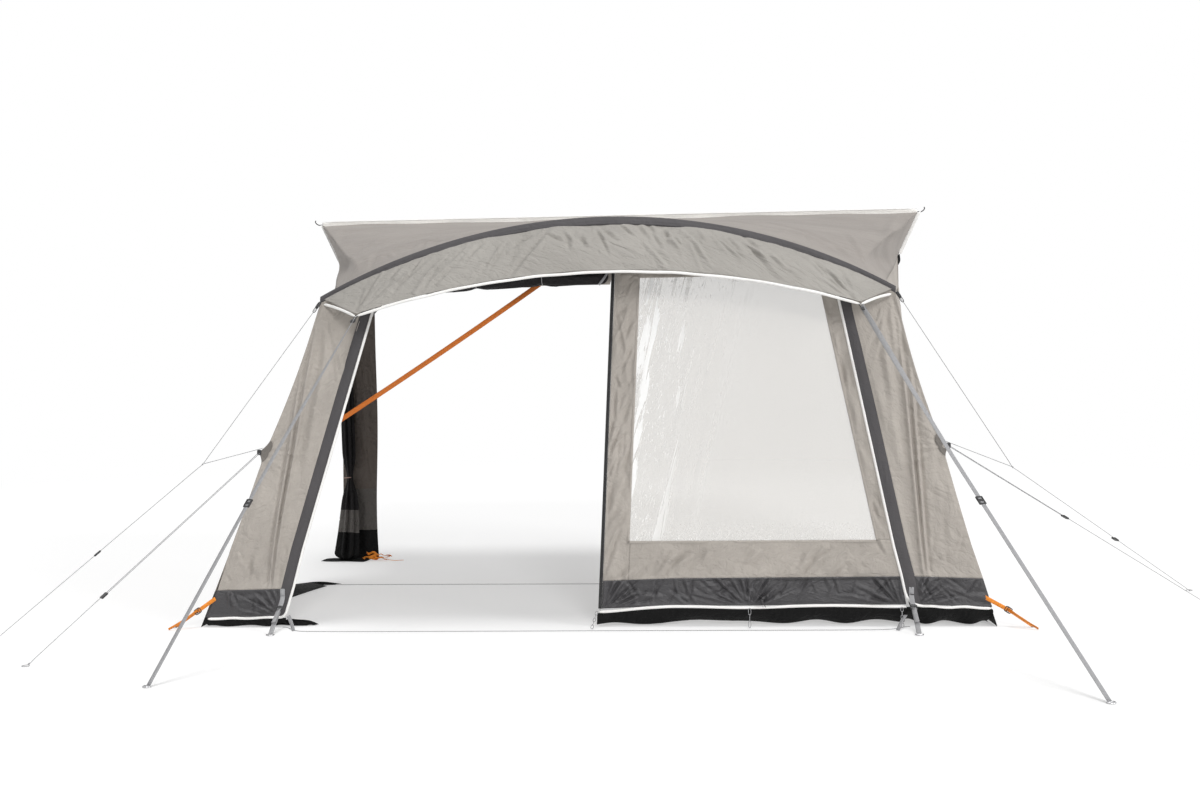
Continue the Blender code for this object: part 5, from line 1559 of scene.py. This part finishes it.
def build_foot_strap(front, name, side):
    """Webbing sewn to the leg's foot, out through a ladder buckle to its ring, with a loose tail."""
    x = float(front.x(side * FOOT_STRAP_X, FOOT_STRAP_BEND))
    bend = np.array((x, FRONT_Y - FOOT_STRAP_OUT, FOOT_STRAP_BEND))
    ring = np.array((x, FRONT_Y - 0.205, 0.0035))
    ahead = unit(ring - bend)
    top = np.array((x, FRONT_Y - FOOT_STRAP_OUT, FOOT_STRAP_TOP))
    end = ring - ahead * RING_REACH
    path = smooth_path([top, mix(top, bend, 0.6), bend + ahead * 0.010, mix(bend, end, 0.5), end], 12)
    fold = [top + np.array((0.0, -0.0022, dz)) for dz in np.linspace(-0.035, -0.001, 6)]
    place = mix(bend, end, 0.30) - np.array((0.0, 0.004, -0.002))
    over = unit(np.cross(RIGHTWARD, ahead))
    tail = [place + ahead * 0.004, place + ahead * 0.05 - over * 0.004, place + ahead * 0.105 - over * 0.010]
    parts = [ribbon_part(line, RIGHTWARD, STRAP, WEB) for line in (path, fold)]
    parts.append(ribbon_part(smooth_path(tail, 8), (0.97, 0.0, 0.2), 0.022, WEB))
    add_piece(f"{name}_foot_web", parts, ["grey webbing"], [f"{name}_foot_strap"])
    ladder_buckle(f"{name}_foot_buckle", place, RIGHTWARD, ahead, 0.026)
    refinish(f"{name}_foot_ring", "ring metal")

    sewn = np.array((x + (-side) * 0.030, FRONT_Y - 0.006, 0.060))
    foot = np.array((x + (-side) * 0.085, FRONT_Y - 0.100, 0.0025))
    path = smooth_path([sewn, mix(sewn, foot, 0.5) + np.array((0.0, 0.0, 0.006)), foot], 12)
    add_piece(f"{name}_threshold_web", [ribbon_part(path, (0.75, -0.45, 0.0), 0.020, WEB)], ["grey webbing"])


def build_corner_strap(front, name, side):
    """Orange strap from the wing's foot to a ring on the ground, with its buckle and a loose tail."""
    start = np.array((float(front.x(side * 1.955, 0.150)), FRONT_Y - 0.003, 0.150))
    buckle = np.array((side * 2.060, FRONT_Y - 0.008, 0.085))
    end = np.array((side * 2.175, FRONT_Y - 0.020, 0.006))
    run = unit(end - start)
    across = unit(np.cross(run, FRONTWARD))
    upper = smooth_path([start, mix(start, buckle, 0.5), buckle], 8)
    lower = smooth_path([buckle, mix(buckle, end, 0.5), end], 8)
    tail = smooth_path([
        buckle + np.array((0.0, -0.006, 0.006)), buckle + np.array((side * 0.045, -0.030, -0.030)),
        np.array((side * 2.145, FRONT_Y - 0.060, 0.030)), np.array((side * 2.185, FRONT_Y - 0.085, 0.006)),
    ], 10)
    lines = ((upper, across), (lower, mix(across, FRONTWARD, 0.5)), (tail, (0.25 * side, -0.9, 0.35)))
    parts = [ribbon_part(path, wide, 0.020, WEB) for path, wide in lines]
    add_piece(f"{name}_corner_web", parts, ["orange webbing"], [f"{name}_corner_strap"])
    ladder_buckle(f"{name}_corner_buckle", buckle, across, run, 0.021)
    centre = end + np.array((side * 0.004, -0.004, 0.0))
    ring = loop_part(centre, (0.0, 1.0, 0.0), (side, 0.0, 0.0), 0.014, 0.010, 0.0022)
    add_piece(f"{name}_corner_ring", [ring], ["ring metal"])


def build_rear_bundle():
    """Spare orange strap dropped in a heap at the rear left foot, and the thin cord that runs out of it."""
    rng = np.random.default_rng(81)
    parts = []
    count = 9
    for index in range(3):
        x = np.linspace(-1.80, -1.625, count) + rng.uniform(-0.012, 0.012, count)
        y = 1.235 + 0.030 * index + rng.uniform(-0.022, 0.022, count)
        z = 0.008 + 0.011 * index + rng.uniform(0.0, 0.030, count) * np.linspace(1.0, 0.25, count)
        path = smooth_path(np.stack([x, y, z], -1), 8)
        path[:, 2] = np.maximum(path[:, 2], 0.004)
        turn, rise = np.linspace(0, 7, len(path)) + index, np.linspace(0, 5, len(path))
        lean = np.stack([np.zeros(len(path)), np.cos(turn), np.sin(rise)], -1)
        parts.append(ribbon_part(path, lean * 0.6 + np.array((0.0, 1.0, 0.2)), 0.018, WEB))
    add_piece("rear_strap_heap", parts, ["orange webbing"])
    path = smooth_path([(-1.735, 1.325, 0.014), (-1.66, 1.262, 0.012), (-1.59, 1.235, 0.003), (-1.52, 1.26, 0.002)], 12)
    line = tube_part(path, 0.0016 * rounded_ends(len(path), 2), 8)
    add_piece("rear_orange_cord", [line], ["orange cord"])


# Cords


def add_cord(name, path, node):
    path = np.array(path)
    path[:, 2] = np.maximum(path[:, 2], CORD_RADIUS)
    line = add_piece(name, [tube_part(path, CORD_RADIUS, 10, (0.13, 0.31, 0.94))], ["guy cord"], [node])


def ground_eye(end, arriving):
    """Knots of the open eye that lies on the floor at a guy's end, for a peg."""
    ahead = Vector((arriving.x, arriving.y, 0.0)).normalized()
    across = level_across(ahead)
    centre = end + (ahead + across) * EYE_RADIUS
    angles = [math.radians(45 * i - 60) for i in range(6)]
    return [centre + (ahead * math.cos(a) + across * math.sin(a)) * EYE_RADIUS for a in angles]


def steps_between(start, end, steps):
    return [start + (end - start) * (i / steps) for i in range(steps + 1)]


def add_knot(name, place, along, size):
    """A small round knot: a block with a very soft edge, a little longer than wide."""
    along = unit(np.asarray(along, float))
    side = unit(np.cross(along, (0.2, 0.3, 0.9)))
    axes = np.stack([along, side, np.cross(along, side)])
    return add_piece(name, [block_part(np.array(place), axes, (size * 1.5, size, size), 0.8, 10, 14)], ["guy cord"])


def build_upper_guy(name):
    """From the hip to the ground, pulled aside at its ring by a branch from the tab."""
    hip, joint, ground = (route_place(point) for point in UPPER_GUYS[name])
    ahead = (ground - joint).normalized()
    run = (joint - hip).normalized()
    knots = [
        hip, hip + (joint - hip) * 0.5, joint - run * BEND_RUN, joint, joint + ahead * BEND_RUN,
        *steps_between(joint, ground, 4)[1:-1], ground - ahead * BEND_RUN, ground, *ground_eye(ground, ahead),
    ]
    refinish(f"{name}_upper_runner", "black plastic")
    knot = add_knot(f"{name}_guy_knot", ground - ahead * KNOT_BACK, ahead, END_KNOT)
    add_cord(f"{name}_upper_line", smooth_path(knots, 6), f"{name}_upper_guy")
    tab = route_place(BRANCH_STARTS[name])
    back = (tab - joint).normalized()
    angle = back.angle(-2 * run - ahead)
    clear = (CORD_RADIUS * (1 + math.cos(angle)) + 0.0003) / math.sin(angle)
    join = add_knot(f"{name}_join_knot", joint + run * 0.002, run, 0.0034)
    path = smooth_path(steps_between(tab, joint + back * clear, 3), 8)
    add_cord(f"{name}_branch_line", path, f"{name}_guy_branch")


def build_lower_guy(name):
    """Doubled from the tab to its runner: it starts in the runner, turns at the tab and runs to the ground."""
    turn, ground = (route_place(point) for point in LOWER_GUYS[name])
    leaving = (ground - turn).normalized()
    near = turn + (leaving - level_across(leaving)) * TURN_RADIUS
    ahead = (ground - near).normalized()
    place = near + (ground - near) * LOWER_RUNNER_SHARES[name]
    beside = level_across(ahead) * 2 * TURN_RADIUS
    start = place + beside + ahead * TAIL_REACH
    knots = [
        *steps_between(start, near + beside + ahead * BEND_RUN, 3), near + beside, turn, near, near + ahead * BEND_RUN,
        *steps_between(near, ground, 4)[1:-1], ground - ahead * BEND_RUN, ground, *ground_eye(ground, ahead),
    ]
    refinish(f"{name}_lower_runner", "black plastic")
    knot = add_knot(f"{name}_lower_knot", ground - ahead * KNOT_BACK, ahead, END_KNOT)
    add_cord(f"{name}_lower_line", smooth_path(knots, 6), f"{name}_lower_guy")


def build_anchor_points(front, name, side):
    """Black toggles at the hip and at the tab, where the guys are tied."""
    hip = np.array(route_place(UPPER_GUYS[name][0]))
    away = unit(np.array(route_place(UPPER_GUYS[name][1])) - hip)
    across = unit(np.cross(away, FRONTWARD))
    hip_axes = np.stack([away, across, unit(np.cross(away, np.cross(away, FRONTWARD)))])
    toggle = block_part(hip + away * 0.012 + FRONTWARD * 0.003, hip_axes, (0.020, 0.008, 0.006), 0.5)
    loop = loop_part(hip + away * 0.040, away, across, 0.016, 0.006, 0.0018)
    add_piece(f"{name}_hip_toggle", [toggle, loop], ["black plastic"])
    tip = front.place(side * (float(front.outer(TAB_HEIGHT)) - 0.004), TAB_HEIGHT, 0.004)
    axes = np.stack([(side, 0.0, 0.0), (0.0, 0.0, 1.0), (0.0, -side, 0.0)])
    tag = block_part(tip, axes, (0.011, 0.014, 0.0035), 0.45)
    add_piece(f"{name}_tab_eyelet", [tag], ["black plastic"])


def build_ground_cords():
    """The threshold cord between the feet, and the straight cord across the floor at mid depth."""
    path = smooth_path([route_place(point) for point in THRESHOLD_ROUTE], 12)
    add_cord("threshold_line", path, "threshold_cord")
    box_low, box_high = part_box("mid_cord")
    start = Vector((box_low.x, (box_low.y + box_high.y) / 2, CORD_RADIUS + 0.0005))
    path = smooth_path(steps_between(start, Vector((box_high.x, start.y, start.z)), 3), 20)
    add_cord("mid_line", path, "mid_cord")


def chain_parts(top, foot, links):
    """A ladder of small rubber links from a hem to a peg."""
    run = unit(foot - top)
    across = unit(np.cross(run, FRONTWARD))
    reach = np.linalg.norm(foot - top) / links / 2
    parts = []
    for index in range(links):
        centre = top + run * reach * (2 * index + 1)
        sideways = across if index % 2 == 0 else unit(np.cross(run, across))
        parts.append(loop_part(centre, sideways, run, 0.0065, reach * 1.12, 0.0016, 0.9, 6, 18))
    return parts


def build_peg_ladders(front):
    """Rubber peg ladders on the panel's hem: at its free corner, at its middle and at the leg."""
    for name, x, aside, out, links in (("left", 0.030, 0.020, 0.075, 5), ("middle", 0.80, 0.0, 0.055, 3),
                                       ("right", 1.555, 0.0, 0.050, 5)):
        parts = chain_parts(front.place(x, HEM_HEIGHT - 0.006, 0.009), front.place(x - aside, 0.006, out), links)
        add_piece(f"{name}_peg_ladder", parts, ["grey webbing"], body="front_panel")


# Stage


def seen_ray(graph):
    """1 for rays that the camera, a mirror surface or a clear one sends, else 0."""
    path = graph.add("ShaderNodeLightPath").outputs
    return graph.most(path["Is Camera Ray"], graph.most(path["Is Glossy Ray"], path["Is Transmission Ray"]))


def bare_graph(owner):
    owner.use_nodes = True
    owner.node_tree.nodes.clear()
    return Graph(owner.node_tree)


def build_stage():
    """A pale floor that keeps the object's shadow, a white surround and soft light."""
    mesh = bpy.data.meshes.new("floor")
    reach, below = 60.0, -0.001
    corners = [(-reach, -reach, below), (reach, -reach, below), (reach, reach, below), (-reach, reach, below)]
    mesh.from_pydata(corners, [], [(0, 1, 2, 3)])
    floor = bpy.data.objects.new("floor", mesh)
    bpy.context.scene.collection.objects.link(floor)
    made = bpy.data.materials.new("pale floor")
    graph = bare_graph(made)
    seen = seen_ray(graph)
    away = graph.add("ShaderNodeVectorMath", {0: graph.place()}, operation="LENGTH").outputs["Value"]
    far = graph.times(seen, graph.range(away, 5.0, 12.0))
    shade = graph.times(graph.minus(0.90, graph.times(seen, 0.28)), graph.minus(1.0, far))
    colour = graph.add("ShaderNodeCombineColor", {0: shade, 1: shade, 2: shade}).outputs[0]
    matt = graph.add("ShaderNodeBsdfDiffuse", {"Color": colour}).outputs[0]
    strength = graph.plus(graph.times(seen, 0.40), graph.times(far, 0.60))
    glow = graph.add("ShaderNodeEmission", {"Strength": strength}).outputs[0]
    both = graph.add("ShaderNodeAddShader", {0: matt, 1: glow}).outputs[0]
    graph.add("ShaderNodeOutputMaterial", {"Surface": both})
    mesh.materials.append(made)

    world = bpy.data.worlds.new("studio")
    bpy.context.scene.world = world
    graph = bare_graph(world)
    strength = graph.plus(0.38, graph.times(seen_ray(graph), 0.62))
    back = graph.add("ShaderNodeBackground", {"Color": (1.0, 1.0, 1.0, 1.0), "Strength": strength}).outputs[0]
    graph.add("ShaderNodeOutputWorld", {"Surface": back})
    lamps = (("top_light", 1.4, 20, 80, 0), ("front_light", 1.05, 14, 25, 15), ("side_light", 1.0, 25, 22, 62))
    for name, energy, spread, lift, turn in lamps:
        lamp = bpy.data.lights.new(name, "SUN")
        lamp.energy = energy
        lamp.angle = math.radians(spread)
        sun = bpy.data.objects.new(name, lamp)
        sun.rotation_euler = (math.radians(90 - lift), 0.0, math.radians(turn))
        bpy.context.scene.collection.objects.link(sun)


def build_camera():
    """The camera that took the photograph, as fitted to it."""
    cos, sin = math.cos, math.sin
    forward = Vector((sin(CAMERA_YAW) * cos(CAMERA_PITCH), cos(CAMERA_YAW) * cos(CAMERA_PITCH), sin(CAMERA_PITCH)))
    level = Vector((cos(CAMERA_YAW), -sin(CAMERA_YAW), 0.0))
    above = level.cross(forward)
    right = level * cos(CAMERA_ROLL) + above * sin(CAMERA_ROLL)
    up = above * cos(CAMERA_ROLL) - level * sin(CAMERA_ROLL)
    turned = Matrix((right, up, -forward)).transposed().to_4x4()
    lens = bpy.data.cameras.new("photograph")
    lens.lens = CAMERA_LENS
    lens.sensor_width = 36.0
    camera = bpy.data.objects.new("photograph", lens)
    camera.matrix_world = Matrix.Translation(CAMERA_PLACE) @ turned
    bpy.context.scene.collection.objects.link(camera)
    bpy.context.scene.camera = camera
    bpy.context.scene.view_settings.view_transform = "Standard"


# Operators


class AwningOperator(bpy.types.Operator):
    """Base of the operators that build the awning's pieces."""

    bl_options = {"REGISTER"}

    def execute(self, context):
        self.build(Front(context.scene.awning_sizes))
        return {"FINISHED"}


class AWNING_OT_stage(bpy.types.Operator):
    """Add the floor, the light and the camera"""

    bl_idname = "awning.stage"
    bl_label = "Stage"
    bl_options = {"REGISTER"}

    def execute(self, context):
        build_stage()
        build_camera()
        return {"FINISHED"}


class AWNING_OT_guys(AwningOperator):
    """Build the guy lines with their knots, toggles and runners"""

    bl_idname = "awning.guys"
    bl_label = "Guy lines"

    def build(self, front):
        for name, side in SIDES:
            build_upper_guy(name)
            build_lower_guy(name)
            build_anchor_points(front, name, side)


class AWNING_OT_straps(AwningOperator):
    """Build the storm straps, foot straps, corner straps and the tension band"""

    bl_idname = "awning.straps"
    bl_label = "Straps"

    def build(self, front):
        build_tension_band(front)
        for name, side in SIDES:
            build_storm_strap(front, name, side)
            build_foot_strap(front, name, side)
            build_corner_strap(front, name, side)
        build_rear_bundle()


class AWNING_OT_ground_cords(AwningOperator):
    """Build the cords on the ground and the rubber peg ladders"""

    bl_idname = "awning.ground_cords"
    bl_label = "Ground cords"

    def build(self, front):
        build_ground_cords()
        build_peg_ladders(front)


class AWNING_OT_roof(AwningOperator):
    """Build the roof with its hems, its front trim and its rail tape"""

    bl_idname = "awning.roof"
    bl_label = "Roof"

    def build(self, front):
        build_roof(front)
        build_roof_trim(front)
        build_rail(front)


class AWNING_OT_visor(AwningOperator):
    """Build the visor and its white welt"""

    bl_idname = "awning.visor"
    bl_label = "Visor"

    def build(self, front):
        build_visor(front)
        build_visor_piping(front)


class AWNING_OT_header(AwningOperator):
    """Build the header panel and the rolled door"""

    bl_idname = "awning.header"
    bl_label = "Header and rolled door"

    def build(self, front):
        build_header(front)
        build_door_roll(front)


class AWNING_OT_wings(AwningOperator):
    """Build both wings with their trims, welts, mud bands and flaps"""

    bl_idname = "awning.wings"
    bl_label = "Wings"

    def build(self, front):
        for name, side in SIDES:
            build_wing(front, name, side)
            build_leg_trim(front, name, side)
            build_leg_piping(front, name, side)
            build_wing_foot(front, name, side)
        build_floor_flaps()


class AWNING_OT_front_panel(AwningOperator):
    """Build the front panel with its window, mud band, flap and zip"""

    bl_idname = "awning.front_panel"
    bl_label = "Front panel"

    def build(self, front):
        build_front_panel(front)
        build_window_seam(front)
        build_panel_foot(front)
        build_zip(front)


class AWNING_OT_sides(AwningOperator):
    """Build the side walls, the doors, the rear returns and the pads"""

    bl_idname = "awning.sides"
    bl_label = "Sides and rear"

    def build(self, front):
        for name, side in SIDES:
            build_side_wall(front, name, side)
            build_return(front, name, side)
        build_side_door(front)
        build_gathered_door()
        build_pads()


class AWNING_OT_beam(AwningOperator):
    """Build the inflated beam's sleeve and its valve"""

    bl_idname = "awning.beam"
    bl_label = "Air beam"

    def build(self, front):
        build_beam(front)


OPERATORS = (
    AWNING_OT_stage, AWNING_OT_guys, AWNING_OT_straps, AWNING_OT_ground_cords, AWNING_OT_roof, AWNING_OT_visor,
    AWNING_OT_header, AWNING_OT_wings, AWNING_OT_front_panel, AWNING_OT_sides, AWNING_OT_beam,
)


class AWNING_PT_looks(bpy.types.Panel):
    """Lists the awning's sizes, colours and pieces"""

    bl_label = "Caravan awning"
    bl_idname = "AWNING_PT_looks"
    bl_space_type = "VIEW_3D"
    bl_region_type = "UI"
    bl_category = "Awning"

    def draw(self, context):
        for group in (context.scene.awning_sizes, context.scene.awning_colours):
            box = self.layout.box()
            for key in group.__annotations__:
                box.prop(group, key)
        for operator in OPERATORS:
            self.layout.operator(operator.bl_idname)


CLASSES = (AwningSizes, AwningColours, *OPERATORS, AWNING_PT_looks)


def register():
    for item in CLASSES:
        bpy.utils.register_class(item)
    bpy.types.Scene.awning_sizes = bpy.props.PointerProperty(type=AwningSizes)
    bpy.types.Scene.awning_colours = bpy.props.PointerProperty(type=AwningColours)


def unregister():
    del bpy.types.Scene.awning_colours
    del bpy.types.Scene.awning_sizes
    for item in reversed(CLASSES):
        bpy.utils.unregister_class(item)


def main():
    register()
    for operator in OPERATORS:
        getattr(bpy.ops.awning, operator.bl_idname.split(".")[1])()


if __name__ == "__main__":
    main()
